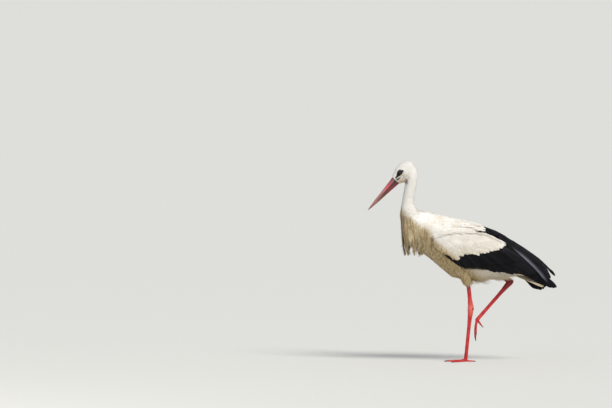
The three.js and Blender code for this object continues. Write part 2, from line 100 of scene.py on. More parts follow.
def hand_in(piece, finish, slot, *replaced):
    """Shade the piece smooth, give it its finish, hang it on the root body and hide the frame nodes that it
    replaces.
    """
    activate(piece)
    bpy.ops.object.shade_smooth()
    piece.data.materials.append(finish)
    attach(piece, "root")
    if replaced:
        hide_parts(*replaced)


# ---- Camera, light and floor ----

FOCAL = 450.0
SENSOR = 36.0
PICTURE_WIDTH = 2.54  # metres across the picture at the bird
PICTURE_MIDDLE = mm(-664, 0, 656)
CAMERA_RISE = math.radians(3)


def facing(direction, axis="Z", up="Y"):
    """The rotation that turns an object's axis to the direction."""
    return Vector(direction).to_track_quat(axis, up).to_euler()


def place_camera():
    distance = PICTURE_WIDTH / SENSOR * FOCAL
    back = Vector((0, -math.cos(CAMERA_RISE), math.sin(CAMERA_RISE)))
    bpy.ops.object.camera_add(location=PICTURE_MIDDLE + back * distance)
    camera = bpy.context.object
    camera.name = "long_lens"
    camera.rotation_euler = facing(-back, "-Z")
    camera.data.lens = FOCAL
    camera.data.sensor_width = SENSOR
    camera.data.clip_start = 1
    camera.data.clip_end = 400
    bpy.context.scene.camera = camera


def light_studio():
    """A broad, even key from above and behind the bird's back, a fill and the studio's pale air."""
    bpy.ops.object.light_add(type="SUN", location=(3, -3, 5))
    key = bpy.context.object
    key.name = "broad_key"
    key.rotation_euler = facing((0.45, -0.53, 0.72))
    key.data.angle = math.radians(24)
    key.data.energy = 2.5
    key.data.color = (1, 0.975, 0.93)
    place = Vector((-3.2, -3.4, 1.8))
    bpy.ops.object.light_add(type="AREA", location=place)
    fill = bpy.context.object
    fill.name = "fill_softbox"
    fill.rotation_euler = facing(Vector((0, 0, 0.5)) - place, "-Z")
    fill.data.shape = "RECTANGLE"
    fill.data.size = fill.data.size_y = 2.4
    fill.data.energy = 24
    fill.data.color = (1, 0.97, 0.92)
    world = bpy.data.worlds.new("studio_air")
    world.use_nodes = True
    air = world.node_tree.nodes["Background"].inputs
    air["Color"].default_value = (0.93, 0.96, 1.0, 1)
    air["Strength"].default_value = 0.46
    bpy.context.scene.world = world
    bpy.context.scene.view_settings.view_transform = "Standard"


def lay_floor():
    activate()
    bpy.ops.mesh.primitive_plane_add(size=500, location=(0, 0, 0))
    floor = bpy.context.object
    floor.name = "studio_floor"
    floor.data.materials.append(floor_finish())


# ---- Shader maths ----


class Value:
    """A number that varies over a surface. Arithmetic on it adds Math nodes."""

    def __init__(self, finish, socket):
        self.finish = finish
        self.socket = socket

    def _math(self, operation, *others):
        return self.finish.node("ShaderNodeMath", {"operation": operation}, dict(enumerate((self, *others))))

    def __rsub__(self, other):
        return self.finish.number(other)._math("SUBTRACT", self)

    def step(self, low, high):
        """0 at or under low, 1 at or over high, smooth between them."""
        settings = {"interpolation_type": "SMOOTHSTEP"}
        sockets = {"Value": self, "From Min": low, "From Max": high, "To Min": 0.0, "To Max": 1.0}
        return self.finish.node("ShaderNodeMapRange", settings, sockets, "Result")

    def bump_at(self, centre, width):
        """1 at centre, falling smoothly to 0 at width to each side."""
        return 1 - (self - centre).abs().step(0.0, width)


def math_step(operation):
    return lambda value, *others: value._math(operation, *others)


for method, operation in {
    "__add__": "ADD", "__radd__": "ADD", "__sub__": "SUBTRACT", "__mul__": "MULTIPLY", "__rmul__": "MULTIPLY",
    "__truediv__": "DIVIDE", "__pow__": "POWER", "abs": "ABSOLUTE", "sin": "SINE", "least": "MINIMUM",
    "most": "MAXIMUM",
}.items():
    setattr(Value, method, math_step(operation))


class Finish:
    """One material, its nodes and its Principled shader."""

    def __init__(self, name, **settings):
        self.material = bpy.data.materials.new(name)
        self.material.use_nodes = True
        self.tree = self.material.node_tree
        self.shader = self.tree.nodes["Principled BSDF"]
        for socket, value in settings.items():
            self.shader.inputs[socket.replace("_", " ")].default_value = value

    def node(self, kind, settings=None, sockets=None, output=0):
        made = self.tree.nodes.new(kind)
        for key, value in (settings or {}).items():
            setattr(made, key, value)
        for key, value in (sockets or {}).items():
            self.link(made.inputs[key], value)
        return Value(self, made.outputs[output])

    def link(self, socket, value):
        if isinstance(value, Value):
            self.tree.links.new(value.socket, socket)
        elif hasattr(socket, "default_value"):
            if socket.type == "RGBA" and len(value) == 3:
                value = (*value, 1)
            socket.default_value = value

    def number(self, value):
        made = self.node("ShaderNodeValue")
        made.socket.default_value = value
        return made

    def place(self):
        """Object coordinates, as one vector."""
        return self.node("ShaderNodeTexCoord", output="Object")

    def parts(self, vector):
        split = self.node("ShaderNodeSeparateXYZ", None, {0: vector}).socket.node
        return [Value(self, socket) for socket in split.outputs]

    def stretched(self, vector, scale, turn=0):
        """The vector turned about Y by so many degrees and then scaled, to set a pattern's size."""
        angles = (0, math.radians(turn), 0)
        return self.node("ShaderNodeMapping", None, {"Vector": vector, "Scale": scale, "Rotation": angles})

    def noise(self, vector, scale, detail=2.0):
        return self.node("ShaderNodeTexNoise", None, {"Vector": vector, "Scale": scale, "Detail": detail})

    def over(self, colour, *layers):
        """The colour with layers mixed over it in turn, each a share and the colour laid on."""
        for share, laid_on in layers:
            made = self.tree.nodes.new("ShaderNodeMix")
            made.data_type = "RGBA"
            made.clamp_factor = True
            for index, value in ((0, share), (6, colour), (7, laid_on)):
                self.link(made.inputs[index], value)
            colour = Value(self, made.outputs[2])
        return colour

    def joined(self, *values):
        return self.node("ShaderNodeCombineXYZ", None, dict(enumerate(values)))

    def ramp(self, value, *stops):
        made = self.node("ShaderNodeValToRGB", None, {"Fac": value}, "Color")
        elements = made.socket.node.color_ramp.elements
        for place, _ in stops[2:]:
            elements.new(place)
        for element, (place, colour) in zip(elements, stops):
            element.position = place
            element.color = (*colour, 1)
        return made

    def attribute(self, name):
        return self.node("ShaderNodeAttribute", {"attribute_name": name}, output="Fac")

    def vane(self):
        """Across (-1 to 1) and along (0 to 1) the feather."""
        across, along, _ = self.parts(self.node("ShaderNodeUVMap", {"uv_map": "vane"}, output="UV"))
        return across * 2.0 - 1.0, along

    def bump(self, height, strength, distance):
        sockets = {"Height": height, "Strength": strength, "Distance": distance}
        self.link(self.shader.inputs["Normal"], self.node("ShaderNodeBump", None, sockets, "Normal"))

    def paint(self, colour, roughness=None):
        self.link(self.shader.inputs["Base Color"], colour)
        if roughness is not None:
            self.link(self.shader.inputs["Roughness"], roughness)
        return self.material


# ---- Finishes ----


def tone(*colour):
    """A colour as painters' charts give it, 0 to 255, in the linear values that shaders take."""
    shares = [value / 255 for value in colour]
    return tuple(c / 12.92 if c <= 0.04045 else ((c + 0.055) / 1.055) ** 2.4 for c in shares)


PURE = tone(252, 250, 246)
WARM = tone(222, 211, 190)
BUFF = tone(190, 166, 116)
DUSK = tone(134, 106, 60)
JET = tone(4, 4, 5)
EYE = mm(-273.7, 0, 791.6)
BILL_ROOT = (-0.2905, 0, 0.7553)
BILL_LENGTH = 0.171
BILL_PITCH = math.radians(47)
BILL_AHEAD = (-math.cos(BILL_PITCH), 0, -math.sin(BILL_PITCH))
BILL_UP = (-math.sin(BILL_PITCH), 0, math.cos(BILL_PITCH))

# The bill's colour from its root (0) to its tip (1), darkened at the root by painted shade where the feathers
# meet it.
BILL_STOPS = (
    (0.0, 78, 44, 46), (0.08, 128, 70, 80), (0.27, 204, 82, 90), (0.42, 172, 112, 110), (0.7, 158, 108, 98),
    (1.0, 118, 60, 50),
)

# The bare black skin round the eye and the gape's spot: streaks in side view, each with its start, its
# end and how far it reaches to each side at start and end, in millimetres.
LORE = (
    ((-274.2, 789.5), (-290.5, 766.0), 10.0, 3.4),
    ((-274.2, 789.5), (-257.0, 797.5), 9.0, 0.2),
    ((-287.0, 757.6), (-275.0, 765.4), 2.8, 2.3),
)


def floor_finish():
    f = Finish("pale_floor", Roughness=0.9)
    return f.paint(f.over(tone(222, 222, 218), (f.noise(f.place(), 30.0), tone(226, 226, 222))))


def white_markings(f):
    """The white plumage's colour by its place on the bird, on skin and feathers alike, with shade painted in
    on its sides, lower parts, front and throat.
    """
    place = f.place()
    x, y, z = f.parts(place)
    cloudy = f.noise(f.stretched(place, (18, 18, 9)), 1.0, 3.0)
    mottled = f.noise(f.stretched(place, (120, 120, 120), 30), 1.0, 3.0)
    streaky = f.noise(f.stretched(place, (170, 170, 15)), 1.0)
    drift = (cloudy - 0.5) * 0.05
    # Less warm mottling on the head and upper neck.
    higher_up = z.step(0.59, 0.67)
    # The sides below the back greyer than the top: painted shade.
    side = y.abs().step(0.05, 0.075) * z.step(0.58, 0.535)
    # The front of the neck and the breast buff with dark streaks: partly dirt, partly painted shade.
    neck = (0.422 - z * 1.07 - x + drift).step(-0.022, 0.02) * z.step(0.73, 0.58)
    breast = (0.428 - (x + 0.07) * 0.6 - z + drift).step(-0.03, 0.035) * x.step(0.16, -0.03)
    stain_and_shade = neck.most(breast)
    # The underparts buff: partly dirt, partly painted shade.
    under = (z + drift).step(0.385, 0.335) * y.abs().step(0.09, 0.03)
    cheek = ((x + 0.262).abs() * 30.0 + (z - 0.766).abs() * 34.0).step(1.3, 0.5)
    chin = (x + 0.272).abs().step(0.02, 0.006) * (z - 0.7475).abs().step(0.014, 0.004)
    # A reddish-brown painted shadow where the head meets the neck.
    throat_shadow = (x + 0.2475).abs().step(0.01, 0.002) * (z - 0.75).abs().step(0.015, 0.003)
    return f.over(
        PURE,
        (cloudy.step(0.35, 0.75) * (0.66 - higher_up * 0.54), WARM),
        (mottled.step(0.5, 0.72) * (0.36 - higher_up * 0.28), BUFF),
        (side * (0.45 + cloudy * 0.5), tone(213, 207, 197)),
        # Darker and warmer towards the bottom: painted shade.
        (z.step(0.5, 0.44) * 0.28, BUFF),
        (stain_and_shade * 0.8, BUFF),
        (stain_and_shade * streaky.step(0.44, 0.64) * 0.72, DUSK),
        (under * (0.3 + cloudy * 0.5), BUFF),
        (cheek * mottled.step(0.36, 0.6) * 0.65, tone(196, 178, 146)),
        (chin * 0.7, tone(226, 196, 152)),
        (throat_shadow * 0.75, tone(140, 88, 74)),
    )


def white_plumage():
    f = Finish("white_plumage", Roughness=0.78, Sheen_Weight=0.12, Specular_IOR_Level=0.2)
    across, along = f.vane()
    # Each feather's tone varies at random, and it darkens towards its root: painted shade under the feathers
    # that cover it.
    tint = (f.attribute("shade") - 0.5).abs() * 0.1 + along.step(0.5, 0.0) * 0.1
    barbs = (along * 90.0 - across.abs() * 12.0).sin()
    f.bump(barbs * 0.3 + across.bump_at(0.0, 0.1), 0.3, 0.0003)
    return f.paint(f.over(white_markings(f), (tint, DUSK)))


def black_plumage():
    f = Finish("black_plumage", Roughness=0.45, Specular_IOR_Level=0.11)
    across, along = f.vane()
    shade = f.attribute("shade")
    cloudy = f.noise(f.place(), 26.0, 3.0)
    # The rims of the vanes, lightened below: partly the feathers' own tone, partly painted sheen.
    edge = across.abs().step(0.7, 1.0) * along.step(0.1, 0.4)
    # A silvery streak along one feather: painted sheen.
    painted_sheen = shade.step(1.0, 1.9) * across.step(-0.9, 0.6) * along.step(0.02, 0.35) * along.step(1.0, 0.8)
    barbs = (along * 520.0 - across.abs() * 60.0).sin()
    f.bump(barbs * 0.25 + across.bump_at(0.0, 0.06), 0.5, 0.0004)
    colour = f.over(
        JET,
        (cloudy.step(0.3, 0.7), tone(11, 9, 13)),
        # Some feathers lighter than others: partly their own tone, partly painted sheen.
        (shade.step(0.2, 0.9) * 0.5, tone(28, 26, 34)),
        (edge * 0.35, tone(70, 66, 76)),
        (painted_sheen * (0.35 + cloudy * 0.6), tone(128, 128, 142)),
    )
    return f.paint(colour, 0.42 + cloudy * 0.2)


def lore_share(f, x, y, z):
    """1 on the bare black skin of the face, by the streaks of LORE."""
    reach = None
    for (x0, z0), (x1, z1), wide, narrow in LORE:
        x0, z0, run_x, run_z = mm(x0), mm(z0), mm(x1 - x0), mm(z1 - z0)
        along = ((x - x0) * run_x + (z - z0) * run_z) * (1 / (run_x**2 + run_z**2))
        along = along.most(0.0).least(1.0)
        gap = ((x - x0 - along * run_x) ** 2.0 + (z - z0 - along * run_z) ** 2.0) ** 0.5
        gap = gap - along.step(0.1, 0.95) * mm(narrow - wide) - mm(wide)
        reach = gap if reach is None else reach.least(gap)
    ragged = (f.noise(f.place(), 800.0) - 0.5) * 0.0016
    return (reach + ragged).step(0.0006, -0.0005) * y.abs().step(0.006, 0.0068)


def skin_finish():
    f = Finish("hide", Roughness=0.55, Specular_IOR_Level=0.35)
    place = f.place()
    x, y, z = f.parts(place)
    bare = f.attribute("bare")
    cells = f.node("ShaderNodeTexVoronoi", {"feature": "DISTANCE_TO_EDGE"}, {"Vector": place, "Scale": 620.0})
    scute = cells.step(0.0, 0.22)
    cloudy = f.noise(place, 45.0, 3.0)
    folds = f.noise(f.stretched(place, (60, 60, 420)), 1.0, 3.0)
    # The ankle's knob paler pink over its folds: partly painted highlight.
    joint = ((x - 0.02).abs() * 24.0 + (z - 0.222).abs() * 26.0).step(1.2, 0.2) * z.step(0.17, 0.19)
    # A dark spot on the near ankle: painted shade.
    painted_shade_spot = (((x - 0.028) * 1.4) ** 2.0 + (z - 0.2205) ** 2.0) ** 0.5
    red = f.over(
        tone(188, 34, 40),
        (cloudy.step(0.3, 0.7), tone(218, 66, 64)),
        ((1 - scute) * 0.34, tone(120, 14, 24)),
        # The legs darker at the top: painted shade from the body.
        (z.step(0.27, 0.33) * 0.72, tone(88, 26, 30)),
        (joint * (0.35 + folds.step(0.4, 0.65) * 0.5), tone(240, 132, 120)),
        (painted_shade_spot.step(0.0065, 0.002) * 0.85 * (0 - y).step(0.0, 0.01), tone(70, 14, 22)),
    )
    wrinkle = f.noise(place, 900.0)
    black_skin = f.over(tone(18, 18, 20), (wrinkle, tone(42, 40, 42)))
    f.bump(scute * bare * 0.7 + wrinkle * 0.3, 0.5, 0.0004)
    layers = (f.attribute("dark"), JET), (bare, red), (lore_share(f, x, y, z), black_skin)
    return f.paint(f.over(white_markings(f), *layers))


def bill_finish():
    f = Finish("bill_horn", Roughness=0.42, Specular_IOR_Level=0.5)
    place = f.place()
    x, y, z = f.parts(place)
    x, z = x - BILL_ROOT[0], z - BILL_ROOT[2]
    along = x * BILL_AHEAD[0] + z * BILL_AHEAD[2]
    up = x * BILL_UP[0] + z * BILL_UP[2]
    grain = f.noise(f.stretched(f.joined(along, up, y), (25, 420, 420)), 1.0, 3.0)
    share = along / BILL_LENGTH + (f.noise(place, 70.0, 3.0) - 0.5) * 0.14
    # The top of the bill mauve: painted reflection of the sky.
    ridge_reflection = up.step(0.01, 0.017) * share.step(0.65, 0.3)
    lower = up.step(-0.004, -0.009) * share.step(0.95, 0.45)
    groove = (up + 0.002 + along * 0.004).bump_at(0.0, 0.008) * share.step(0.85, 0.4)
    colour = f.over(
        f.ramp(share, *((place, tone(*colour)) for place, *colour in BILL_STOPS)),
        (grain.step(0.45, 0.75) * 0.45, tone(176, 132, 130)),
        (ridge_reflection * 0.6, tone(118, 72, 92)),
        (lower * 0.75, tone(100, 16, 32)),
        (groove * 0.92, tone(40, 30, 26)),
    )
    f.bump(grain, 0.3, 0.0006)
    return f.paint(colour, 0.34 + grain * 0.22)


def eye_finish():
    f = Finish("dark_brown_eye", Roughness=0.1, Specular_IOR_Level=0.4, Coat_Weight=0.5, Coat_Roughness=0.03)
    x, _, z = f.parts(f.place())
    away = ((x - EYE.x) ** 2.0 + (z - EYE.z) ** 2.0) ** 0.5
    brown = f.over(tone(30, 18, 13), (f.noise(f.place(), 1400.0), tone(52, 31, 20)))
    rings = (away.step(0.0025, 0.0029), brown), (away.step(0.0044, 0.0052), tone(14, 12, 12))
    return f.paint(f.over((0.002, 0.002, 0.002), *rings))


def grained_finish(name, low, high, scale, bump, depth, **settings):
    """A plain finish that varies between two colours, with its grain in relief."""
    f = Finish(name, **settings)
    grain = f.noise(f.place(), scale)
    f.bump(grain, bump, depth)
    return f.paint(f.over(low, (grain, high)))


def lid_finish():
    return grained_finish("black_eyelid", (0.008, 0.008, 0.01), (0.028, 0.026, 0.028), 1200.0, 0.4, 0.0002,
                          Roughness=0.75, Specular_IOR_Level=0.15)


def claw_finish():
    return grained_finish("claw_horn", (0.055, 0.028, 0.022), (0.13, 0.07, 0.05), 350.0, 0.3, 0.0002,
                          Roughness=0.4, Specular_IOR_Level=0.5)


# ---- Flesh: one skin from the frame's solids ----

COAT_DEPTH = {  # millimetres of feather over the skin, by part
    "head": 2.0, "neck_upper": 3.6, "neck_lower": 6.0, "breast_plumes": 9.0, "mantle": 5.0, "breast": 9.0,
    "belly": 9.0, "thigh": 6.0, "shank": 0.0, "tarsus": 0.0, "toe": 0.0, "scapulars": 5.0, "long": 6.0,
    "coverts": 4.5, "greater": 5.5, "secondaries": 6.0,
}
BARE = ("shank", "tarsus", "toe")
PLUME_FLOOR = 0.482  # below this the breast plumes are loose feathers with no skin inside
SKIN_GRAIN = 0.0016  # metres, the size of the voxels that the skin is made of
SKIN_FACES = 170000
THIGH_ENDS = [mm(10.5, -34, 313), mm(104, 50, 383)]


def part_of(node):
    """The key of COAT_DEPTH that a frame node belongs to, or None if it isn't flesh."""
    words = node.split("_")
    keys = [words[-1]] if words[0].startswith("wing") else [node, words[0]]
    return next((key for key in keys if key in COAT_DEPTH), None)


FLESH = sorted(name for name in NODES if part_of(name))
PARTS = sorted(COAT_DEPTH)


def among(part, *names):
    """True where the index in PARTS is that of one of these parts."""
    return np.isin(part, [PARTS.index(name) for name in names])


def weld(piece, floor=None):
    """Weld a copied node's loose triangles, and cut away what hangs below the floor height."""
    steps = [lambda: bpy.ops.mesh.remove_doubles(threshold=1e-5)]
    if floor is not None:
        cut = {"plane_co": (0, 0, floor), "plane_no": (0, 0, 1), "use_fill": True, "clear_inner": True}
        steps.append(lambda: bpy.ops.mesh.bisect(**cut))
    steps.append(lambda: bpy.ops.mesh.normals_make_consistent(inside=False))
    edit(piece, *steps)


def merged_copy(names, name, floors=()):
    """One new piece made of copies of these frame nodes, each a closed and welded shell."""
    copies = [add_object(name, NODES[node].data.copy()) for node in names]
    for node, piece in zip(names, copies):
        weld(piece, dict(floors).get(node))
    activate(copies[0])
    for piece in copies:
        piece.select_set(True)
    if len(copies) > 1:
        bpy.ops.object.join()
    piece = bpy.context.object
    piece.data.materials.clear()
    piece.name = name
    return piece


def read(items, name, width=1, kind=float):
    """One property of all the items, as an array."""
    values = np.empty(len(items) * width, kind)
    items.foreach_get(name, values)
    return values.reshape(-1, width) if width > 1 else values


def triangles(mesh):
    """Vertices, triangles and smooth vertex normals of a mesh, as arrays."""
    mesh.calc_loop_triangles()
    corners = read(mesh.loop_triangles, "vertices", 3, np.int32)
    return read(mesh.vertices, "co", 3), corners, read(mesh.vertices, "normal", 3)


def get_values(mesh, name):
    return read(mesh.attributes[name].data, "value", 1, np.float32)


def set_values(mesh, name, values):
    layer = mesh.attributes.get(name) or mesh.attributes.new(name, "FLOAT", "POINT")
    layer.data.foreach_set("value", np.asarray(values, np.float32))


def nearest_parts(places):
    """The index in PARTS of the frame part nearest to each place."""
    verts, faces, owner = [], [], []
    base = 0
    for node in FLESH:
        own, tris, _ = triangles(NODES[node].data)
        verts.append(own)
        faces.append(tris + base)
        owner += [PARTS.index(part_of(node))] * len(tris)
        base += len(own)
    tree = BVHTree.FromPolygons(np.concatenate(verts).tolist(), np.concatenate(faces).tolist())
    return np.array([owner[tree.find_nearest(p)[2]] for p in places.tolist()])


def spread(values, mesh, rounds):
    """The values averaged with those of neighbouring vertices, over and over."""
    values = np.asarray(values, float)
    a, b = read(mesh.edges, "vertices", 2, np.int32).T
    count = np.bincount(a, minlength=len(values)) + np.bincount(b, minlength=len(values)) + 1
    for _ in range(rounds):
        total = values + np.bincount(a, values[b], len(values)) + np.bincount(b, values[a], len(values))
        values = total / count
    return values


def smooth_step(value, low, high):
    share = np.clip((value - low) / (high - low), 0, 1)
    return share * share * (3 - 2 * share)


def away(places, spot, flat=False):
    """Metres from each place to the spot, in side view if flat."""
    gap = places - np.array(spot)
    return np.linalg.norm(gap[:, [0, 2]] if flat else gap, axis=1)


def lore_reach(places):
    """Millimetres from each place in to the edge of the bare black skin, less than 0 within it."""
    flat = places[:, [0, 2]] * 1000
    gaps = []
    for start, end, wide, narrow in LORE:
        start, run = np.array(start), np.array(end) - np.array(start)
        along = np.clip(((flat - start) @ run) / (run @ run), 0, 1)
        gap = np.linalg.norm(flat - (start + along[:, None] * run), axis=1)
        gaps.append(gap - (wide + (narrow - wide) * smooth_step(along, 0.1, 0.95)))
    return np.where(np.abs(places[:, 1]) > 0.006, np.min(gaps, 0), 99.0)


# Outline in side view of the white part of the folded wing, in millimetres.
WHITE_WING = np.array(
    [
        (-156, 520), (-138, 472), (-79, 447), (-50, 434), (-36, 430), (-24, 446), (-8, 446), (0, 460),
        (37, 455), (79, 463), (120, 472), (166, 488), (164, 498), (138, 514), (98, 532), (58, 548), (0, 556),
        (-60, 556), (-130, 546),
    ]
)


def inside(outline, x, z):
    """True where a place in side view lies within a closed outline."""
    result = np.zeros(len(x), bool)
    for (x0, z0), (x1, z1) in zip(outline, np.roll(outline, -1, 0)):
        crosses = (z0 > z) != (z1 > z)
        result ^= crosses & (x < (x1 - x0) * (z - z0) / (z1 - z0 + 1e-9) + x0)
    return result


def white_back_end(z):
    """How far back, in millimetres, the white of the back and shoulders reaches at a height."""
    return np.interp(z, (500, 537, 564, 580), (30, 58, 78, 88))


def inner_face(places):
    """True on the side of the folded wings that faces the back."""
    x, y = places[:, 0] * 1000, np.abs(places[:, 1]) * 1000
    return (x > 50) & (y < np.interp(x, (50, 100, 170), (54, 52, 38)))


def dark_mask(places, part):
    """1 where the feathers over the skin are black."""
    x, z = places[:, 0] * 1000, places[:, 2] * 1000
    wing = among(part, "coverts", "greater", "secondaries")
    rump = among(part, "mantle", "scapulars", "belly") & (z > 455) & (x > 50)
    roof = among(part, "long") | rump
    white = inside(WHITE_WING, x, z) & ~inner_face(places)
    return ((wing & ~white & (x > -85)) | (roof & (x > white_back_end(z)))).astype(float)


def coat_depth(places, part):
    """Metres of feather over the skin at each place: thin by the bare legs, the bill and the eyes."""
    depth = np.array([COAT_DEPTH[p] for p in PARTS])[part]
    for end in THIGH_ENDS:
        depth = np.where(among(part, "thigh"), depth * smooth_step(away(places, end), 0.004, 0.05), depth)
    for spot, low, high in ((mm(-291, 0, 756), 0.015, 0.035), (EYE, 0.006, 0.03)):
        thinned = depth * (0.25 + 0.75 * smooth_step(away(places, spot, True), low, high))
        depth = np.where(among(part, "head"), thinned, depth)
    return depth * MM


def add_group(piece, name, weights):
    group = piece.vertex_groups.new(name=name)
    levels = np.round(weights * 20).astype(int)
    for level in np.unique(levels):
        group.add(np.flatnonzero(levels == level).tolist(), level / 20, "REPLACE")


def make_skin():
    skin = merged_copy(FLESH, "skin", {"breast_plumes": PLUME_FLOOR})
    modify(skin, "DISPLACE", "close_gaps", strength=0.0004, mid_level=0.0)
    skin.data.remesh_voxel_size = SKIN_GRAIN
    activate(skin)
    bpy.ops.object.voxel_remesh()
    mesh = skin.data
    places, _, _ = triangles(mesh)
    part = nearest_parts(places)
    depth = spread(coat_depth(places, part), mesh, 10)
    bare = among(part, *BARE)
    face = among(part, "head") & (places[:, 0] < -0.262)
    off_bill = smooth_step(away(places, mm(-290.5, 0, 755.3)), 0.017, 0.032)
    add_group(skin, "body_share", spread(~(bare | face), mesh, 8))
    add_group(skin, "face_share", spread(face * off_bill, mesh, 4))
    add_group(skin, "bare_share", spread(bare & (places[:, 2] > 0.012), mesh, 4))
    add_group(skin, "coat_share", depth * 100)

    def soften(name, group, factor, rounds):
        modify(skin, "SMOOTH", name, factor=factor, iterations=rounds, vertex_group=group)

    def swell(name, group, strength):
        modify(skin, "DISPLACE", name, strength=strength, mid_level=0.0, vertex_group=group)

    soften("even_out", "", 0.5, 3)
    swell("keep_thick", "bare_share", 0.0009)
    soften("soften_legs", "bare_share", 0.5, 12)
    soften("soften_body", "body_share", 0.6, 46)
    soften("soften_face", "face_share", 0.5, 22)
    swell("under_coat", "coat_share", -0.01)
    soften("soften_again", "body_share", 0.5, 6)
    share = min(1.0, SKIN_FACES / (2 * len(mesh.polygons)))
    modify(skin, "DECIMATE", "thin_out", ratio=share, vertex_group="body_share")
    mesh = skin.data
    places, _, _ = triangles(mesh)
    part = nearest_parts(places)
    bare = among(part, *BARE)
    for end in THIGH_ENDS:
        bare |= away(places, end) < 0.013
    set_values(mesh, "part", part)
    set_values(mesh, "depth", spread(coat_depth(places, part), mesh, 6))
    set_values(mesh, "bare", spread(bare, mesh, 1))
    set_values(mesh, "dark", spread(dark_mask(places, part), mesh, 1))
    replaced = [name for name in FLESH if name != "breast_plumes"]
    hand_in(skin, skin_finish(), "white_plumage", *replaced)
    return skin


# ---- Surfaces that feathers root in ----


def unit(vectors):
    return vectors / np.maximum(np.linalg.norm(vectors, axis=-1, keepdims=True), 1e-12)


def corner_shares(places, corners):
    """The weights of a triangle's three corners at a place on it."""
    a, b, c = corners[:, 0], corners[:, 1], corners[:, 2]
    ab, ac, ap = b - a, c - a, places - a
    d00, d01, d11 = (ab * ab).sum(1), (ab * ac).sum(1), (ac * ac).sum(1)
    d20, d21 = (ap * ab).sum(1), (ap * ac).sum(1)
    scale = np.maximum(d00 * d11 - d01 * d01, 1e-18)
    v = (d11 * d20 - d01 * d21) / scale
    w = (d00 * d21 - d01 * d20) / scale
    shares = np.clip(np.stack([1 - v - w, v, w], 1), 0, 1)
    return shares / shares.sum(1, keepdims=True)


class Surface:
    """A mesh to look up the nearest places on."""

    def __init__(self, mesh):
        self.verts, self.tris, self.normals = triangles(mesh)
        self.corners = self.verts[self.tris]
        self.tree = BVHTree.FromPolygons(self.verts.tolist(), self.tris.tolist())

    def nearest(self, places):
        """The nearest places, their triangles, and the weights of those triangles' corners."""
        hits = [self.tree.find_nearest(p) for p in places.tolist()]
        spots = np.array([hit[0][:] for hit in hits])
        index = np.array([hit[2] for hit in hits])
        return spots, index, corner_shares(spots, self.corners[index])


class Unwrap(Surface):
    """A light copy of the skin, laid flat, that tells where on the flat a place lies."""

    def __init__(self, piece):
        light = add_object("flat_copy", piece.data.copy())
        modify(light, "DECIMATE", "lighten", ratio=0.06)
        edit(light, lambda: bpy.ops.uv.smart_project(angle_limit=math.radians(70), island_margin=0.004))
        super().__init__(light.data)
        flat = read(light.data.uv_layers.active.data, "uv", 2)
        self.flat = flat[read(light.data.loop_triangles, "loops", 3, np.int32)]
        bpy.data.objects.remove(light)

    def at(self, places):
        _, index, shares = self.nearest(places)
        return (self.flat[index] * shares[:, :, None]).sum(1)


class Hide(Surface):
    """The skin's surface, with smooth normals, coat depth, part and a copy laid flat."""

    def __init__(self, piece):
        super().__init__(piece.data)
        self.depth = get_values(piece.data, "depth")
        self.part = np.round(get_values(piece.data, "part")[self.tris[:, 0]]).astype(int)
        self.centres = self.corners.mean(1)
        a, b, c = (self.corners[:, i] for i in range(3))
        self.area = np.linalg.norm(np.cross(b - a, c - a), axis=1) / 2
        self.unwrap = Unwrap(piece)

    def at(self, places):
        spots, index, shares = self.nearest(places)
        corners = self.tris[index]
        normals = unit((self.normals[corners] * shares[:, :, None]).sum(1))
        return spots, normals, (self.depth[corners] * shares).sum(1)


# ---- The lie of the coat ----

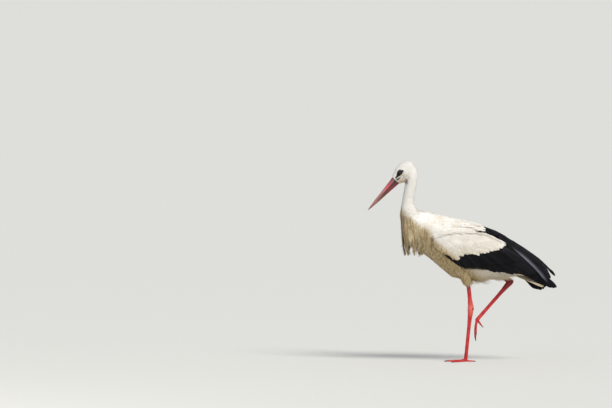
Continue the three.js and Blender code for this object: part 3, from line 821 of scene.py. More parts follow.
# A place on the left side in millimetres, the way that feathers point there, and their length.
LIE = np.array(
    [
        (-286, 6, 785, 0.45, 0, 0.9, 3.5), (-270, 8, 815, 0.8, 0, 0.6, 6),
        (-245, 8, 829, 1.0, 0, -0.05, 8), (-215, 8, 815, 0.55, 0, -0.85, 11), (-201, 0, 790, 0.05, 0, -1, 14),
        (-204, 0, 760, -0.12, 0, -1, 17), (-262, 24, 805, 0.85, 0, 0.25, 5),
        (-240, 27, 800, 0.85, 0, -0.45, 8), (-262, 24, 775, 0.8, 0, -0.45, 5),
        (-275, 16, 757, 0.8, 0, -0.62, 4), (-278, 4, 742, 0.9, 0, -0.35, 4),
        (-255, 6, 743, 0.55, 0, -0.85, 7), (-232, 26, 772, 0.4, 0, -0.92, 12),
        (-225, 24, 740, -0.12, 0, -1, 16), (-250, 6, 725, -0.12, 0, -1, 15), (-203, 4, 725, -0.16, 0, -1, 19),
        (-238, 22, 690, -0.1, 0, -1, 20), (-263, 4, 690, -0.12, 0, -1, 20), (-214, 4, 690, -0.08, 0, -1, 22),
        (-268, 6, 650, -0.06, 0, -1, 28), (-240, 28, 650, 0.0, 0.05, -1, 27),
        (-212, 10, 655, 0.3, 0.05, -0.95, 27), (-205, 16, 632, 0.8, 0.2, -0.55, 31),
        (-272, 8, 595, 0.04, 0.02, -1, 38), (-235, 46, 590, 0.12, 0.1, -0.99, 36),
        (-190, 58, 570, 0.5, 0.1, -0.86, 35), (-262, 6, 530, 0.18, 0, -0.98, 40),
        (-225, 40, 500, 0.4, 0, -0.92, 38), (-190, 8, 455, 0.7, 0, -0.72, 34),
        (-150, 65, 480, 0.7, 0, -0.7, 36), (-160, 40, 600, 0.85, 0.2, -0.45, 36),
        (-180, 10, 622, 0.95, 0.05, -0.28, 34), (-120, 20, 612, 0.97, 0.03, -0.22, 40),
        (-60, 20, 602, 0.97, 0.02, -0.2, 44), (0, 20, 592, 0.97, 0, -0.22, 46),
        (60, 20, 574, 0.94, 0, -0.32, 46), (150, 10, 510, 0.84, 0, -0.55, 46),
        (-110, 60, 570, 0.9, 0.1, -0.42, 40), (-50, 84, 440, 0.88, 0, -0.48, 38),
        (50, 78, 420, 0.95, 0, -0.28, 40), (-110, 20, 392, 0.8, 0, -0.6, 34),
        (-40, 20, 350, 0.95, 0, -0.3, 34), (20, 20, 338, 1.0, 0, -0.12, 38),
        (90, 20, 345, 1.0, 0, -0.1, 44), (180, 10, 356, 0.98, 0, -0.18, 52),
        (-20, 58, 400, 0.5, 0, -0.86, 34), (0, 42, 345, 0.3, 0, -0.95, 22),
        (60, 60, 400, 0.85, 0, -0.5, 38), (-125, 88, 500, 0.72, 0, -0.68, 22),
        (-60, 100, 480, 0.85, 0, -0.52, 27), (0, 102, 480, 0.9, 0, -0.44, 32),
        (100, 88, 470, 0.88, 0, -0.47, 34), (200, 62, 430, 0.86, 0, -0.5, 34),
        (-90, 60, 575, 0.96, 0, -0.25, 36), (50, 62, 555, 0.92, 0, -0.38, 40),
        (140, 40, 520, 0.84, 0, -0.54, 40),
    ]
)


def guided(places):
    """The guides' values at each place, nearer guides counting most."""
    there = np.stack([places[:, 0], np.abs(places[:, 1]), places[:, 2]], 1) * 1000
    gap = ((there[:, None, :] - LIE[None, :, :3]) ** 2).sum(2)
    weight = 1 / (gap + 60.0) ** 2
    weight /= weight.sum(1, keepdims=True)
    return weight @ LIE[:, 3:]


def lie(places):
    """The unit direction of the feathers at each place."""
    heading = guided(places)[:, :3]
    heading[:, 1] *= np.where(places[:, 1] > 0, 1.0, -1.0)
    return unit(heading)


def usual_length(places):
    """The length, in millimetres, of the feathers at each place."""
    return guided(places)[:, 3]


# ---- Making feathers ----


class Vane:
    """One feather, flat: bands of barbs that slant off the shaft on both sides.

    solid is the share of the half width, from the shaft out, that no gap between barbs reaches.
    """

    def __init__(self, bands, slant=0.2, gap=0.0, blunt=0.4, point=0.5, root=0.3, solid=0.0, quill=False):
        across, along, loose, band, quads = [], [], [], [], []
        marks = 1 - (1 - np.arange(bands + 1) / bands) ** 1.4

        def half(v):
            past = max(0.0, (v - (1 - blunt)) / blunt)
            wide = root + (1 - root) * float(smooth_step(np.array(v), 0.0, 0.4))
            return wide * max(0.0, 1 - past**2) ** point

        reaches = (0.0, solid, 1.0) if solid else (0.0, 1.0)
        for side in (-1, 1):
            for b in range(bands):
                start = len(across)
                for reach in reaches:
                    freed = max(0.0, (reach - solid) / (1 - solid))
                    part = gap * freed * (marks[b + 1] - marks[b]) / 2
                    for v, inward in ((marks[b], 1), (marks[b + 1], -1)):
                        out = min(1.0, v + slant * reach * (1 - v) ** 0.7 + inward * part)
                        across.append(side * reach * half(out))
                        along.append(out)
                        loose.append(freed)
                        band.append(b + (bands if side > 0 else 0))
                for j in range(len(reaches) - 1):
                    a = start + 2 * j
                    face = (a, a + 2, a + 3, a + 1)
                    quads.append(face if side > 0 else face[::-1])
        if quill:
            first = len(across)
            for k in range(9):
                for side in (-1, 0, 1):
                    across.append(side * 0.055 * (1 - 0.1 * k))
                    along.append(k / 8 * 0.97)
                    loose.append(-1.0 if side == 0 else 0.0)
                    band.append(0)
            for k in range(8):
                a = first + 3 * k
                for j in (0, 1):
                    quads.append((a + j, a + j + 1, a + j + 4, a + j + 3))
        self.across, self.along = np.array(across), np.array(along)
        self.loose, self.band = np.array(loose), np.array(band)
        self.quads = np.array(quads)
        self.bands = 2 * bands


# Feathers of one make, ready to be joined into a piece.
Batch = namedtuple("Batch", "verts normals quads vane bake shade")


def build(vane, spine, normals, half_width, rng, roots_flat=None, camber=0.25, ruffle=0.0, wander=0.0,
          splits=1.0, roll=0.0, soft=0.4, shade=None):
    """Feathers along spines (n, rows, 3).

    ruffle lifts the barb bands and wander slides them; between splits they move as one.
    soft turns the shading normals towards those of the coat as a whole.
    """
    n, rows = spine.shape[:2]
    half_width = np.broadcast_to(half_width, (n,))
    length = np.linalg.norm(np.diff(spine, axis=1), axis=2).sum(1)
    starts = rng.random((n, vane.bands)) < splits
    starts[:, [0, vane.bands // 2]] = True
    held = np.maximum.accumulate(np.where(starts, np.arange(vane.bands), 0), 1)

    def loosened(amount):
        draw = np.take_along_axis(rng.normal(size=(n, vane.bands)), held, 1)
        return draw[:, vane.band] * np.clip(vane.loose, 0, 1) * amount

    along = np.clip(vane.along + loosened(wander) * (vane.along < 0.98), 0, 1.0)
    spot = along * (rows - 1)
    low = np.minimum(spot.astype(int), rows - 2)
    share = (spot - low)[..., None]
    pick = np.arange(n)[:, None]
    centre = spine[pick, low] * (1 - share) + spine[pick, low + 1] * share
    whole = unit(normals[pick, low] * (1 - share) + normals[pick, low + 1] * share)
    ahead = unit(spine[pick, low + 1] - spine[pick, low])
    side = unit(np.cross(ahead, whole))
    up = np.cross(side, ahead)
    angle = np.broadcast_to(roll, (n,))[:, None, None]
    side, up = side * np.cos(angle) + up * np.sin(angle), up * np.cos(angle) - side * np.sin(angle)
    width = half_width[:, None]
    height = (-camber * vane.across**2 + (vane.loose < 0) * 0.05) * width + loosened(ruffle) * length[:, None]
    verts = centre + side * (vane.across * width)[..., None] + up * height[..., None]
    facing = unit(up * (1 - soft) + whole * soft + side * (2 * camber * vane.across)[None, :, None])
    shade = rng.random(n) if shade is None else np.broadcast_to(shade, (n,))
    flat = None
    if roots_flat is not None:
        flat = roots_flat[:, None, :] + 0.003 * np.stack([vane.across / 2, vane.along - 0.5], 1)[None]
        flat = flat.reshape(-1, 2)
    uv = np.broadcast_to(np.stack([vane.across / 2 + 0.5, vane.along], 1)[None], (n, len(vane.across), 2))
    offset = (np.arange(n) * len(vane.across))[:, None, None]
    quads = (vane.quads[None] + offset).reshape(-1, 4)
    shade = np.repeat(shade, len(vane.across))
    return Batch(verts.reshape(-1, 3), facing.reshape(-1, 3), quads, uv.reshape(-1, 2), flat, shade)


def mirrored(batch):
    """The batch on the other side of the bird."""
    flip = np.array([1, -1, 1])
    return batch._replace(verts=batch.verts * flip, normals=batch.normals * flip, quads=batch.quads[:, ::-1])


def piece_of(name, batches, finish, slot, *replaced):
    """One piece that joins the batches, riding on the bird."""
    verts, normals, vane, shade = (
        np.concatenate([getattr(b, key) for b in batches]) for key in ("verts", "normals", "vane", "shade")
    )
    bases = np.cumsum([0] + [len(b.verts) for b in batches[:-1]])
    quads = np.concatenate([b.quads + base for b, base in zip(batches, bases)])
    mesh = bpy.data.meshes.new(name)
    mesh.vertices.add(len(verts))
    mesh.vertices.foreach_set("co", verts.ravel())
    mesh.loops.add(quads.size)
    mesh.loops.foreach_set("vertex_index", quads.ravel().astype(np.int32))
    mesh.polygons.add(len(quads))
    mesh.polygons.foreach_set("loop_start", np.arange(0, quads.size, 4, dtype=np.int32))
    mesh.update(calc_edges=True)
    maps = [("vane", vane)]
    if all(b.bake is not None for b in batches):
        maps.append(("OFBake", np.concatenate([b.bake for b in batches])))
    for title, flat in maps:
        mesh.uv_layers.new(name=title).data.foreach_set("uv", flat[quads.ravel()].ravel())
    set_values(mesh, "shade", shade)
    hand_in(add_object(name, mesh), finish, slot, *replaced)
    mesh.normals_split_custom_set_from_vertices(normals.tolist())


def scatter(hide, allowed, spacing, rng):
    """Root places on the allowed triangles, no two nearer than the spacing there."""
    apart = spacing(hide.centres) if callable(spacing) else np.full(len(hide.area), float(spacing))
    apart = apart * MM
    weight = hide.area * allowed / apart**2
    count = int(weight.sum() * 4)
    pick = rng.choice(len(weight), count, p=weight / weight.sum())
    a, b = rng.random((2, count))
    flip = a + b > 1
    a, b = np.where(flip, 1 - a, a), np.where(flip, 1 - b, b)
    first, second, third = (hide.corners[pick, i] for i in range(3))
    places = first + (second - first) * a[:, None] + (third - first) * b[:, None]
    cells = np.floor(places / apart[pick].max()).astype(int)
    taken, kept = {}, []
    around = list(itertools.product((-1, 0, 1), repeat=3))
    limits = (apart[pick] ** 2).tolist()
    for index, ((x, y, z), (i, j, k), limit) in enumerate(zip(places.tolist(), cells.tolist(), limits)):
        near = (other for di, dj, dk in around for other in taken.get((i + di, j + dj, k + dk), ()))
        if all((x - u) ** 2 + (y - v) ** 2 + (z - w) ** 2 >= limit for u, v, w in near):
            taken.setdefault((i, j, k), []).append((x, y, z))
            kept.append(index)
    return places[kept]


def lay(hide, roots, length, rows=5, cling=0.8, droop=0.0, rise=(0.1, 1.0), turn=0.0, follow=0.5, flow=lie):
    """Spines that start at the roots and follow the lie of the coat over the skin.

    cling is how firmly they keep to it: a share, or a function of the places.
    """
    n = len(roots)
    step = (np.broadcast_to(length, (n,)) / (rows - 1))[:, None]
    spots, normals, depth = hide.at(roots)
    heading = flow(roots)
    heading = unit(heading - normals * (heading * normals).sum(1, keepdims=True))
    side = np.cross(heading, normals)
    turn = np.broadcast_to(turn, (n,))[:, None]
    heading = heading * np.cos(turn) + side * np.sin(turn)
    place = spots + normals * (depth * rise[0])[:, None]
    spine, ups = [place], [normals]
    lift = np.broadcast_to(rise[1], (n,))
    for k in range(1, rows):
        share = k / (rows - 1)
        place = place + heading * step
        spots, normals, depth = hide.at(place)
        above = ((place - spots) * normals).sum(1)
        target = depth * (rise[0] + (lift - rise[0]) * share**0.7) + 0.0002
        hold = cling(place) if callable(cling) else np.full(n, cling)
        least = np.where(hold < 0.3, 0.0, target)
        push = np.where(above < least, least - above, hold * (target - above))
        place = place + normals * push[:, None]
        heading = unit(heading * (1 - follow) + flow(place) * follow)
        heading = heading - normals * ((heading * normals).sum(1) * hold)[:, None]
        heading = unit(heading + np.array([0, 0, -droop]))
        spine.append(place)
        turned = np.clip(hold * 2 - 0.4, 0, 1)[:, None]
        ups.append(unit(normals * turned + ups[-1] * (1 - turned)))
    return np.stack(spine, 1), np.stack(ups, 1)


# ---- Feather groups on the skin ----


def jitter(rng, around):
    return around * (1 + 0.15 * np.clip(rng.normal(size=len(around)), -2, 2))


def coat(hide, rng, allowed, spacing, vane, longer=1.0, aspect=0.16, lift=1.0, root_rise=0.1, turn=0.1,
         roll=0.04, uneven=0.2, length=usual_length, camber=0.25, ruffle=0.0, wander=0.0, splits=1.0,
         soft=0.4, **ways):
    """A batch of like feathers scattered over the allowed triangles of the skin."""
    roots = scatter(hide, allowed, spacing, rng)
    count = len(roots)
    usual = MM * (length(roots) * longer)
    long = jitter(rng, usual)
    wide = jitter(rng, usual * aspect)
    rise = (root_rise, (1.0 - uneven * rng.random(count)) * lift)
    spine, ups = lay(hide, roots, long, rise=rise, turn=turn * rng.normal(size=count), **ways)
    return build(vane, spine, ups, wide, rng, hide.unwrap.at(roots), camber, ruffle, wander, splits,
                 roll * rng.normal(size=count), soft)


# Where the breast plumes gather into locks, in millimetres.
LOCKS = np.array(
    [
        (-252, 0, 441), (-239, -16, 441), (-239, 16, 441), (-214, -29, 441), (-214, 29, 441),
        (-195, -24, 442), (-195, 24, 442), (-182, -7, 442), (-182, 9, 442),
    ]
)
PLUME_AXIS = np.array([-214, 0])  # the middle of the breast plumes, seen from above
RUMP_LIE = (0.882, 0.0, -0.471)

# The makes of small feathers.
TINY = Vane(5, slant=0.48, gap=0.4, blunt=0.8, point=0.9, root=0.5)
SLIM = Vane(6, slant=0.42, gap=0.4, blunt=0.8, point=0.9, root=0.4)
PLUME = Vane(10, slant=0.2, gap=0.5, blunt=0.95, point=1.0, root=0.35)
CONTOUR = Vane(8, slant=0.22, gap=0.25, blunt=0.6, point=0.55, root=0.35, solid=0.6)
LOOSE = Vane(8, slant=0.22, gap=0.45, blunt=0.8, point=0.8, root=0.35)
TUFT = Vane(9, slant=0.24, gap=0.55, blunt=0.9, point=1.0, root=0.3)
SMALL = Vane(7, slant=0.25, gap=0.45, blunt=0.8, point=0.9, root=0.35)
COVERT = Vane(8, slant=0.2, gap=0.2, blunt=0.5, point=0.5, root=0.4, solid=0.65)


def toward_locks(places):
    """The lie of the breast plumes: down the neck, then into the nearest lock."""
    there = places * 1000
    gap = np.linalg.norm(there[:, None, :2] - LOCKS[None, :, :2], axis=2)
    aim = unit(LOCKS[gap.argmin(1)] - there)
    share = (smooth_step(there[:, 2], 570, 480) * 0.85)[:, None]
    return unit(lie(places) * (1 - share) + aim * share)


def backward(places):
    return np.tile(RUMP_LIE, (len(places), 1))


def head_spacing(places):
    return 0.86 + 0.043 * usual_length(places)


def neck_spacing(places):
    return 0.82 + 0.037 * usual_length(places)


def plume_length(places):
    return np.clip((places[:, 2] * 1000 - 445) * 1.04, 40, 96)


def thigh_length(places):
    """Short by the bare legs and longer away from them."""
    ends = [away(places, end) for end in THIGH_ENDS]
    return 9 + 20 * smooth_step(np.minimum(*ends) * 1000, 5, 70)


def plume_cling(places):
    return 0.12 + 0.4 * smooth_step(places[:, 2], 0.5, 0.56)


def free_below(places):
    """How firmly feathers keep to the skin: hardly at all where the breast plumes end."""
    return 0.8 - 0.7 * smooth_step(places[:, 2], 0.545, 0.5) * smooth_step(places[:, 0], -0.15, -0.185)


def bridge(places):
    """How firmly back feathers keep to the skin: loosely across the groove above the wing."""
    x, y, z = places[:, 0], np.abs(places[:, 1]), places[:, 2]
    across = smooth_step(y, 0.042, 0.052) * smooth_step(z, 0.582, 0.572) * smooth_step(z, 0.53, 0.54)
    return 0.8 - 0.74 * across * smooth_step(x, -0.095, -0.07) * smooth_step(x, 0.095, 0.08)


def lock_plumes(hide, rng, count, heights, spread_by, short):
    """Long plumes that hang from the breast between the heights and end in the locks."""
    lock = LOCKS[rng.integers(len(LOCKS), size=count)]
    side = unit(np.stack([lock[:, 0] + 212, lock[:, 1] * 1.5 + rng.normal(size=count) * 4], 1))
    high = rng.uniform(*heights, count)
    near = np.column_stack([PLUME_AXIS + side * 60, high]) + rng.normal(size=(count, 3)) * 5
    roots, ups, depth = hide.at(near * MM)
    tips = lock + rng.normal(size=(count, 3)) * np.array([spread_by, spread_by, 1]) * 0.5
    tips[:, 2] = lock[:, 2] + np.abs(rng.normal(size=count)) * short
    tips = tips * MM
    start = roots + ups * (depth * rng.uniform(0.3, 1.0, count))[:, None]
    middle = start * (0.55, 0.55, 0.5) + tips * (0.45, 0.45, 0.5) + ups * 0.005
    t = np.linspace(0, 1, 8)[None, :, None]
    spine = start[:, None] * (1 - t) ** 2 + middle[:, None] * 2 * t * (1 - t) + tips[:, None] * t**2
    outward = np.repeat(unit(ups * np.array([1, 1, 0.2]))[:, None], 8, 1)
    return build(PLUME, spine, outward, MM * rng.uniform(1.3, 2.4, count), rng, hide.unwrap.at(roots),
                 camber=0.1, ruffle=0.006, wander=0.02, roll=0.4 * rng.normal(size=count))


def make_body_feathers(hide, white, black):
    """The coat that grows from the skin, region by region."""
    c = hide.centres * 1000
    heading = lie(hide.centres)
    tip = c + heading * usual_length(hide.centres)[:, None]
    x, y, z = c[:, 0], np.abs(c[:, 1]), c[:, 2]
    rise = hide.normals[hide.tris].mean(1)[:, 2]
    rng = np.random.default_rng(SEEDS["body"])

    def on(*parts):
        return among(hide.part, *parts)

    def piece(name, *coats, finish=white, slot="white_plumage"):
        batches = [coat(hide, rng, allowed, spacing, vane, **ways) for allowed, spacing, vane, ways in coats]
        piece_of(name, batches, finish, slot)

    def clear(along, high):
        return inside(WHITE_WING, along, high) | ((high > 530) & (along < white_back_end(high)))

    open_skin = lore_reach(hide.centres) > 0
    for share in (0.3, 0.6, 1.0):
        open_skin &= lore_reach(hide.centres * (1 - share) + tip * MM * share) > -0.8
    off_eye = away(hide.centres, EYE, True) > 0.0082
    off_eye &= away(hide.centres + heading * 0.003, EYE, True) > 0.0075
    lore = on("head") & (lore_reach(hide.centres) < 0) & off_eye
    front = (on("breast_plumes") | (on("neck_lower") & (x < -235) & (z < 665))) & (z > 505)
    front |= on("breast") & (x < -172) & (z > 490) & (z < 530)
    groove = on("mantle", "belly", "scapulars") & (y > 44) & (z > 533) & (z < 576)
    groove &= (x > -120) & (x < 48) & ((rise < 0.3) | ((z < 562) & (y < 74)))
    back = on("mantle", "scapulars", "long") & (tip[:, 0] < white_back_end(tip[:, 2]) + 3) & ~groove
    eaves = on("scapulars", "mantle") & (y > 48) & (z > 560) & (rise > 0.2) & (x > -60) & (x < 42)
    rump = on("belly", "mantle") & (x > 95) & (rise > 0.0) & (y < 62) & (z < 458)
    belly = on("belly") & ~groove & ((z < 458) | (x < 40)) & ~rump & ~((x > 178) & (rise > -0.6))
    flank = (belly & (x > -30) & (x < 135) & (z < 380) & (y < 62)) | (on("thigh") & (z > 338))
    left_thigh = belly & (x > -5) & (x < 58) & (z < 362)
    right_thigh = belly & (x > 92) & (x < 150) & (z < 378)
    wing = on("coverts", "greater", "secondaries")
    shoulder = wing & clear(x, z) & clear(tip[:, 0], tip[:, 2]) & ~inner_face(hide.centres)
    dark = (dark_mask(hide.centres, hide.part) > 0.5) & (tip[:, 0] < np.where(y < 40, 195, 255)) & (x > 20)
    dark &= (rise > np.where(y < 62, 0.3, 0.0)) & ~((x > 55) & (z > 480) & (y > 42))
    dark &= ~((y > 52) & (z < 408)) & ~rump

    fine = dict(ruffle=0.004, wander=0.03, rows=4, cling=1.0, soft=0.9, camber=0.06)
    neat = dict(longer=0.95, uneven=0.08, splits=0.4, camber=0.12)
    shaggy = dict(ruffle=0.012, rows=7, soft=0.6)
    head_ways = dict(longer=1.2, aspect=0.105, root_rise=0.5, lift=0.9, uneven=0.1)
    piece("head_feathers", (on("head") & open_skin, head_spacing, TINY, fine | head_ways))
    lore_ways = dict(longer=0.65, aspect=0.12, root_rise=0.2, lift=0.5)
    piece("lore_feathers", (lore, 0.85, TINY, fine | lore_ways), finish=black, slot="black_plumage")
    neck_ways = dict(aspect=0.095, ruffle=0.007, wander=0.03, turn=0.09, soft=0.85, cling=free_below,
                     camber=0.08, root_rise=0.4, uneven=0.12)
    piece("neck_feathers", (on("neck_upper", "neck_lower"), neck_spacing, SLIM, neck_ways))
    batches = [
        coat(hide, rng, front, spacing, PLUME, aspect=0.034, rows=9, cling=plume_cling, lift=lift,
             length=plume_length, longer=longer, flow=toward_locks, follow=0.6, ruffle=0.008, wander=0.02,
             turn=0.12, uneven=0.5, soft=0.5, camber=0.1)
        for spacing, lift, longer in ((3.0, 0.8, 0.97), (3.8, 1.1, 1.0))
    ]
    batches.append(lock_plumes(hide, rng, 520, (505, 560), 3.0, 6.0))
    batches.append(lock_plumes(hide, rng, 620, (496, 545), 10.0, 42.0))
    piece_of("breast_plume_feathers", batches, white, "cream_plumage", "breast_plumes")
    piece(
        "mantle_feathers",
        (back, 3.9, CONTOUR, neat | dict(aspect=0.17, ruffle=0.002, wander=0.012, soft=0.75, cling=bridge,
                                         root_rise=0.35)),
        (eaves, 5.0, CONTOUR, dict(aspect=0.19, ruffle=0.003, splits=0.4, cling=0.06, droop=0.05, lift=1.3,
                                   soft=0.5)),
    )
    rump_ways = dict(aspect=0.22, ruffle=0.003, wander=0.01, soft=0.6, cling=0.75, root_rise=0.3, lift=0.8,
                     follow=0.2, flow=backward)
    piece("rump_feathers", (rump, 3.6, CONTOUR, neat | rump_ways))
    breast_ways = dict(aspect=0.13, ruffle=0.007, wander=0.03, turn=0.13, soft=0.8, cling=free_below,
                       camber=0.1, root_rise=0.3, uneven=0.15)
    piece("breast_feathers", (on("breast"), 2.8, LOOSE, breast_ways), slot="cream_plumage")
    piece(
        "belly_feathers",
        (belly, 3.9, LOOSE, dict(aspect=0.14, ruffle=0.01, wander=0.03, turn=0.16, soft=0.75, camber=0.1)),
        (flank, 5.0, TUFT, shaggy | dict(longer=1.1, aspect=0.1, cling=0.3, droop=0.24, lift=1.5, wander=0.04,
                                         turn=0.25, roll=0.12)),
        (left_thigh, 5.5, TUFT, shaggy | dict(longer=1.2, aspect=0.085, cling=0.05, droop=0.4, lift=1.8,
                                              wander=0.05, turn=0.3)),
        (right_thigh, 3.8, TUFT, shaggy | dict(longer=0.95, aspect=0.11, cling=0.1, droop=0.42, lift=1.6,
                                               wander=0.04, turn=0.25)),
    )
    thigh_ways = dict(length=thigh_length, aspect=0.12, ruffle=0.012, wander=0.03, turn=0.16, soft=0.6)
    piece("thigh_feathers", (on("thigh") & (z > 321), 2.1, SMALL, thigh_ways))
    covert_ways = dict(aspect=0.22, ruffle=0.003, wander=0.008, splits=0.5, turn=0.07, soft=0.6, camber=0.14,
                       root_rise=0.3)
    piece("lesser_covert_feathers", (shoulder, 4.2, COVERT, covert_ways))
    dark_ways = dict(aspect=0.24, ruffle=0.004, splits=0.4, turn=0.07, lift=0.3, root_rise=0.0)
    piece("black_under_feathers", (dark, 9.0, COVERT, dark_ways), finish=black, slot="black_plumage")


# ---- The folded wing ----

# The outer face of the folded wings: along, middle height, distance out, half height, bulge.
WING_FRONT = [
    (-150, 512, 60, 16, 10), (-136, 508, 66, 36, 20), (-100, 497, 70, 62, 25), (-50, 482, 72, 80, 29),
    (0, 470, 72, 88, 30), (50, 466, 69, 90, 29), (100, 455, 61, 90, 27), (150, 440, 51, 84, 24),
    (200, 420, 42, 70, 20),
]
WING_REAR = {
    "left": [(250, 402, 35, 58, 16), (300, 378, 29, 50, 12), (345, 344, 25, 36, 9), (378, 308, 22, 22, 5)],
    "right": [(240, 396, 36, 60, 17), (276, 362, 31, 58, 13), (304, 330, 27, 36, 9), (330, 306, 24, 12, 4)],
}
RIGHT_TUCK = 34  # millimetres by which the far wing reaches less far back

# Where the tips of the wing's feathers end in side view, in millimetres.
EDGE_OF_WHITE = [
    (-84, 448), (-54, 436), (-40, 428), (-30, 440), (-20, 450), (-9, 446), (1, 460), (20, 457), (40, 453),
    (62, 452), (83, 462), (124, 470), (164, 486),
]
ROOF = [(-128, 520), (-104, 530), (-62, 533), (-32, 541), (0, 545), (24, 541), (44, 540)]
SECONDARIES = [
    (-22, 402), (0, 396), (37, 399), (70, 394), (100, 386), (129, 376), (162, 378), (191, 369), (245, 371),
    (270, 366), (292, 368), (312, 378),
]
GREATER_COVERTS = [(10, 409), (60, 410), (120, 409), (180, 414), (236, 424)]
ALULA = [(-76, 438), (-60, 426), (-42, 412), (-20, 400), (4, 394), (24, 397)]
TOP_QUILLS = [(352, 340), (346, 362), (334, 382), (314, 400), (290, 420), (262, 435), (238, 447)]
PRIMARIES = {
    "left": [(262, 362), (285, 350), (306, 337), (330, 319), (354, 310), (374, 308), (380, 318)],
    "right": [(308, 343), (314, 324), (324, 305), (335, 298), (346, 296), (358, 301), (366, 313)],
}

# The makes of large feathers.
MEDIAN = Vane(11, slant=0.18, gap=0.12, blunt=0.42, root=0.5, solid=0.7)
QUILL = Vane(20, slant=0.12, blunt=0.2, root=0.55, solid=0.6, quill=True)
LONG_QUILL = Vane(20, slant=0.1, blunt=0.16, root=0.5, solid=0.6, quill=True)
LARGE_COVERT = Vane(14, slant=0.16, blunt=0.34, root=0.5, solid=0.6, quill=True)
SCAPULAR = Vane(18, slant=0.14, blunt=0.24, root=0.5, solid=0.6, quill=True)
TAIL = Vane(18, slant=0.12, blunt=0.22, root=0.55, solid=0.6, quill=True)


def wing_side(face, x, z):
    """How far out, in millimetres, the wing's face is at a place in side view."""
    middle, apart, high, bulge = (np.interp(x, face[:, 0], face[:, i]) for i in (1, 2, 3, 4))
    off = np.clip(np.abs(z - middle) / high, 0, 1.25)
    return apart + bulge * (1 - off**2.5)


def along_line(points, shares):
    """Places at shares of the length of a line through points."""
    points = np.array(points, float)
    marks = np.concatenate([[0], np.cumsum(np.linalg.norm(np.diff(points, axis=0), axis=1))])
    marks /= marks[-1]
    return np.stack([np.interp(shares, marks, points[:, i]) for i in range(points.shape[1])], 1)


def fan(face, tips, count, length, slope, rng, out, bow, tuck, loosen):
    """Spines of a row of wing feathers, given by the line of their tips in side view.

    length and slope (degrees below the horizon) run from the row's first feather to its last.
    out is how far over the wing's face root and tip lie, in millimetres.
    """
    shares = (np.arange(count) + 0.5) / count
    end = along_line(tips, shares)
    end = end + rng.normal(size=end.shape) * loosen
    end[:, 0] -= tuck
    long = np.interp(shares, (0, 1), length) * (1 + 0.03 * rng.normal(size=count))
    angle = np.radians(np.interp(shares, (0, 1), slope) + rng.normal(size=count) * 1.2)
    heading = np.stack([np.cos(angle), -np.sin(angle)], 1)
    normal = np.stack([np.sin(angle), np.cos(angle)], 1)
    t = np.linspace(0, 1, 9)
    flat = end[:, None] - heading[:, None] * (long[:, None, None] * (1 - t)[None, :, None])
    flat = flat + normal[:, None] * (long[:, None, None] * bow * (4 * t * (1 - t))[None, :, None])
    x, z = flat[..., 0], flat[..., 1]
    y = -(wing_side(face, x, z) + (out[0] + (out[1] - out[0]) * t)[None])
    slope_x = (wing_side(face, x + 2, z) - wing_side(face, x - 2, z)) / 4
    slope_z = (wing_side(face, x, z + 2) - wing_side(face, x, z - 2)) / 4
    ups = unit(np.stack([-slope_x, -np.ones_like(x), -slope_z], 2))
    return np.stack([x, y, z], 2) * MM, ups


def make_wing(side, white, black):
    left = side == "left"
    rng = np.random.default_rng(SEEDS[side])
    face = np.array(WING_FRONT + WING_REAR[side])

    def row(vane, tips, count, length, slope, half_width, out, tucked=1.0, bow=0.04, loosen=1.0, **making):
        tuck = 0 if left else RIGHT_TUCK * tucked
        spine, ups = fan(face, tips, count, length, slope, rng, out, bow, tuck, loosen)
        making = {"splits": 0.12, "wander": 0.004, "ruffle": 0.002, "camber": 0.18} | making
        batch = build(vane, spine, ups, mm(half_width), rng, **making)
        return batch if left else mirrored(batch)

    white_rows = [
        row(MEDIAN, [(x - 14 * k - 2, z + 10 * k) for x, z in EDGE_OF_WHITE], 26, (32, 46), (50, 30),
            8.2 - 0.6 * (k == 0), (-0.5, 2.0 + 0.4 * k), 0.0, wander=0.008, ruffle=0.004, roll=-0.04,
            splits=0.4, loosen=2.6 - 0.4 * k)
        for k in range(4)
    ]
    white_rows += [
        row(MEDIAN, [(x - 11 * k, z + 6.5 * k) for x, z in ROOF], 20, (34, 42), (14, 20), 7.4,
            (-1.5, 1.6 + 0.8 * k), 0.0)
        for k in range(3)
    ]
    piece_of(f"median_coverts_{side}", white_rows, white, "white_plumage")
    alula_out = (-1.0, 4.0) if left else (0.5, 5.0)
    count, length, slope = (12, (220, 290), (24, 33)) if left else (10, (150, 210), (38, 50))
    black_rows = [
        row(LONG_QUILL, PRIMARIES[side], count, length, slope, 11.5, (-6.0, -1.5), bow=0.03, roll=0.08),
        row(QUILL, SECONDARIES, 19, (105, 190), (47, 30), 14.5, (-5.0, 1.2), bow=0.035, roll=0.1),
        row(LARGE_COVERT, ALULA, 9, (44, 64), (50, 44), 8.0, alula_out, 0.0, roll=0.06),
        row(LARGE_COVERT, GREATER_COVERTS, 18, (70, 92), (46, 32), 10.5, (-2.5, 2.0), 0.3, roll=0.1),
        row(QUILL, TOP_QUILLS, 8, (225, 130), (34, 34), 15.0, (-7.0, 2.4), bow=0.05, roll=-0.08),
        # The one feather that carries the painted sheen streak.
        row(QUILL, [(345, 326), (345, 327)], 1, (232, 232), (43, 43), 7.5, (2.5, 4.4), bow=0.05, shade=1.7),
    ]
    if left:
        stray_tip = [(371, 357), (371, 358)]
        black_rows.append(row(LONG_QUILL, stray_tip, 1, (150, 150), (42, 42), 6.0, (0.8, 2.4), bow=0.03))
    piece_of(f"wing_{side}_flight_feathers", black_rows, black, "black_plumage", f"wing_{side}_primaries")


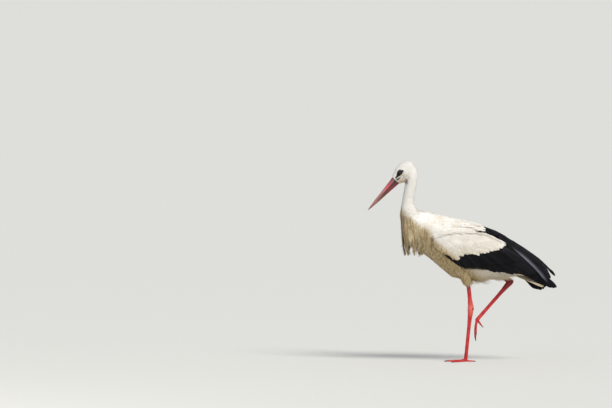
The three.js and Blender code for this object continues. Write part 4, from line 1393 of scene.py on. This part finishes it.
def make_long_scapulars(hide, black):
    """The black feathers that roof the folded wings, rooted under the white ones."""
    batches = []
    rng = np.random.default_rng(SEEDS["scapulars"])
    count = 7
    shares = (np.arange(count) + 0.5) / count
    for side in (-1, 1):
        for row, (start, length, reach) in enumerate(((112, 146, 54), (86, 140, 48), (58, 126, 33))):
            x = start - 8 * shares + rng.normal(size=count) * 3
            z = 552 - 0.42 * (start - 84) - 14 * shares**2
            roots = np.stack([x, side * (5 + reach * shares), z], 1) * MM
            long = MM * (length - 12 * shares) * (1 + 0.05 * rng.normal(size=count))
            spine, ups = lay(hide, roots, long, rows=9, cling=0.75, follow=0.35, rise=(0.2, 0.9 + 0.12 * row))
            batches.append(build(SCAPULAR, spine, ups, mm(11), rng, camber=0.2, wander=0.004, splits=0.12,
                                 roll=side * 0.05))
    piece_of("long_scapular_feathers", batches, black, "black_plumage")


def make_tail(white):
    share = np.linspace(-1, 1, 12)
    t = np.linspace(0, 1, 9)
    root = np.stack([196 + 0 * share, 9 * share, 374 - 12 * share**2], 1)
    tip = np.stack([331 - 10 * share**2, 31 * share, 334 - 21 * np.abs(share)], 1)
    spine = root[:, None] * (1 - t)[None, :, None] + tip[:, None] * t[None, :, None]
    spine[..., 2] += 4 * np.sin(np.pi * t)[None]
    ups = np.zeros_like(spine)
    ups[..., 0] = 0.3
    ups[..., 1] = 0.45 * share[:, None]
    ups[..., 2] = 1
    rng = np.random.default_rng(SEEDS["tail"])
    batch = build(TAIL, spine * MM, unit(ups), mm(11), rng, camber=0.15, wander=0.003, splits=0.12,
                  roll=-0.12 * share)
    piece_of("tail_feathers", [batch], white, "white_plumage", "tail")


# ---- Head pieces, claws ----

BILL_GRAIN = 0.0008  # metres, the size of the voxels that the bill is made of
NOSTRIL = {"along": 0.03, "up": 0.0065, "out": 0.0098, "size": (0.0095, 0.0016, 0.00125)}
EYE_RADIUS = 0.0079
LID_RADIUS = 0.0053
LID_THICKNESS = 0.0007
LID_DISTANCE = 0.0056


def cut_nostril(bill, side):
    spot = Vector(BILL_ROOT) + Vector(BILL_AHEAD) * NOSTRIL["along"] + Vector(BILL_UP) * NOSTRIL["up"]
    spot.y = side * NOSTRIL["out"]
    activate()
    bpy.ops.mesh.primitive_uv_sphere_add(segments=24, ring_count=12, radius=1, location=spot)
    cutter = bpy.context.object
    cutter.scale = NOSTRIL["size"]
    cutter.rotation_euler = (0, -BILL_PITCH, 0)
    bpy.ops.object.transform_apply(location=False, rotation=True, scale=True)
    modify(bill, "BOOLEAN", "nostril", object=cutter, operation="DIFFERENCE")
    bpy.data.objects.remove(cutter)


def make_bill(half, finish):
    bill = merged_copy([half], f"{half}_horn")
    bill.data.remesh_voxel_size = BILL_GRAIN
    bpy.ops.object.voxel_remesh()
    modify(bill, "SMOOTH", "hone", factor=0.5, iterations=8)
    if half == "bill_upper":
        for side in (-1, 1):
            cut_nostril(bill, side)
    bill.data.materials.clear()
    hand_in(bill, finish, "bill_horn", half)


def make_eye(side, finish, lids):
    node = f"eye_{side}"
    low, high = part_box(node)
    middle = (low + high) / 2
    outward = Vector((-0.22, 1 if middle.y > 0 else -1, 0.05)).normalized()
    activate()
    bpy.ops.mesh.primitive_uv_sphere_add(segments=48, ring_count=24, radius=EYE_RADIUS, location=middle)
    ball = bpy.context.object
    ball.name = f"{node}_ball"
    bpy.ops.object.transform_apply(location=True, rotation=True, scale=True)
    hand_in(ball, finish, "eye", node)
    rim = middle + outward * LID_DISTANCE
    activate()
    bpy.ops.mesh.primitive_torus_add(
        major_segments=64, minor_segments=14, major_radius=LID_RADIUS, minor_radius=LID_THICKNESS,
        location=rim, rotation=facing(outward, "Z", "X"),
    )
    ring = bpy.context.object
    ring.name = f"eyelids_{side}"
    edit(ring, lambda: bpy.ops.transform.resize(value=(1.08, 1.0, 0.84), center_override=rim))
    bpy.ops.object.transform_apply(location=True, rotation=True, scale=True)
    hand_in(ring, lids, "eye")


def make_claws(finish):
    names = sorted(name for name in NODES if name.startswith("claw"))
    claws = merged_copy(names, "claws")
    modify(claws, "SUBSURF", "round_off", levels=2, render_levels=2)
    modify(claws, "DISPLACE", "fill_out", strength=0.0004, mid_level=0.0)
    hand_in(claws, finish, "claw_horn", *names)


# ---- Everything, in order ----

place_camera()
light_studio()
lay_floor()
hide = Hide(make_skin())
white, black = white_plumage(), black_plumage()
make_body_feathers(hide, white, black)
for side in ("left", "right"):
    make_wing(side, white, black)
make_long_scapulars(hide, black)
make_tail(white)
horn = bill_finish()
for half in ("bill_upper", "bill_lower"):
    make_bill(half, horn)
eye, lids = eye_finish(), lid_finish()
for side in ("left", "right"):
    make_eye(side, eye, lids)
make_claws(claw_finish())
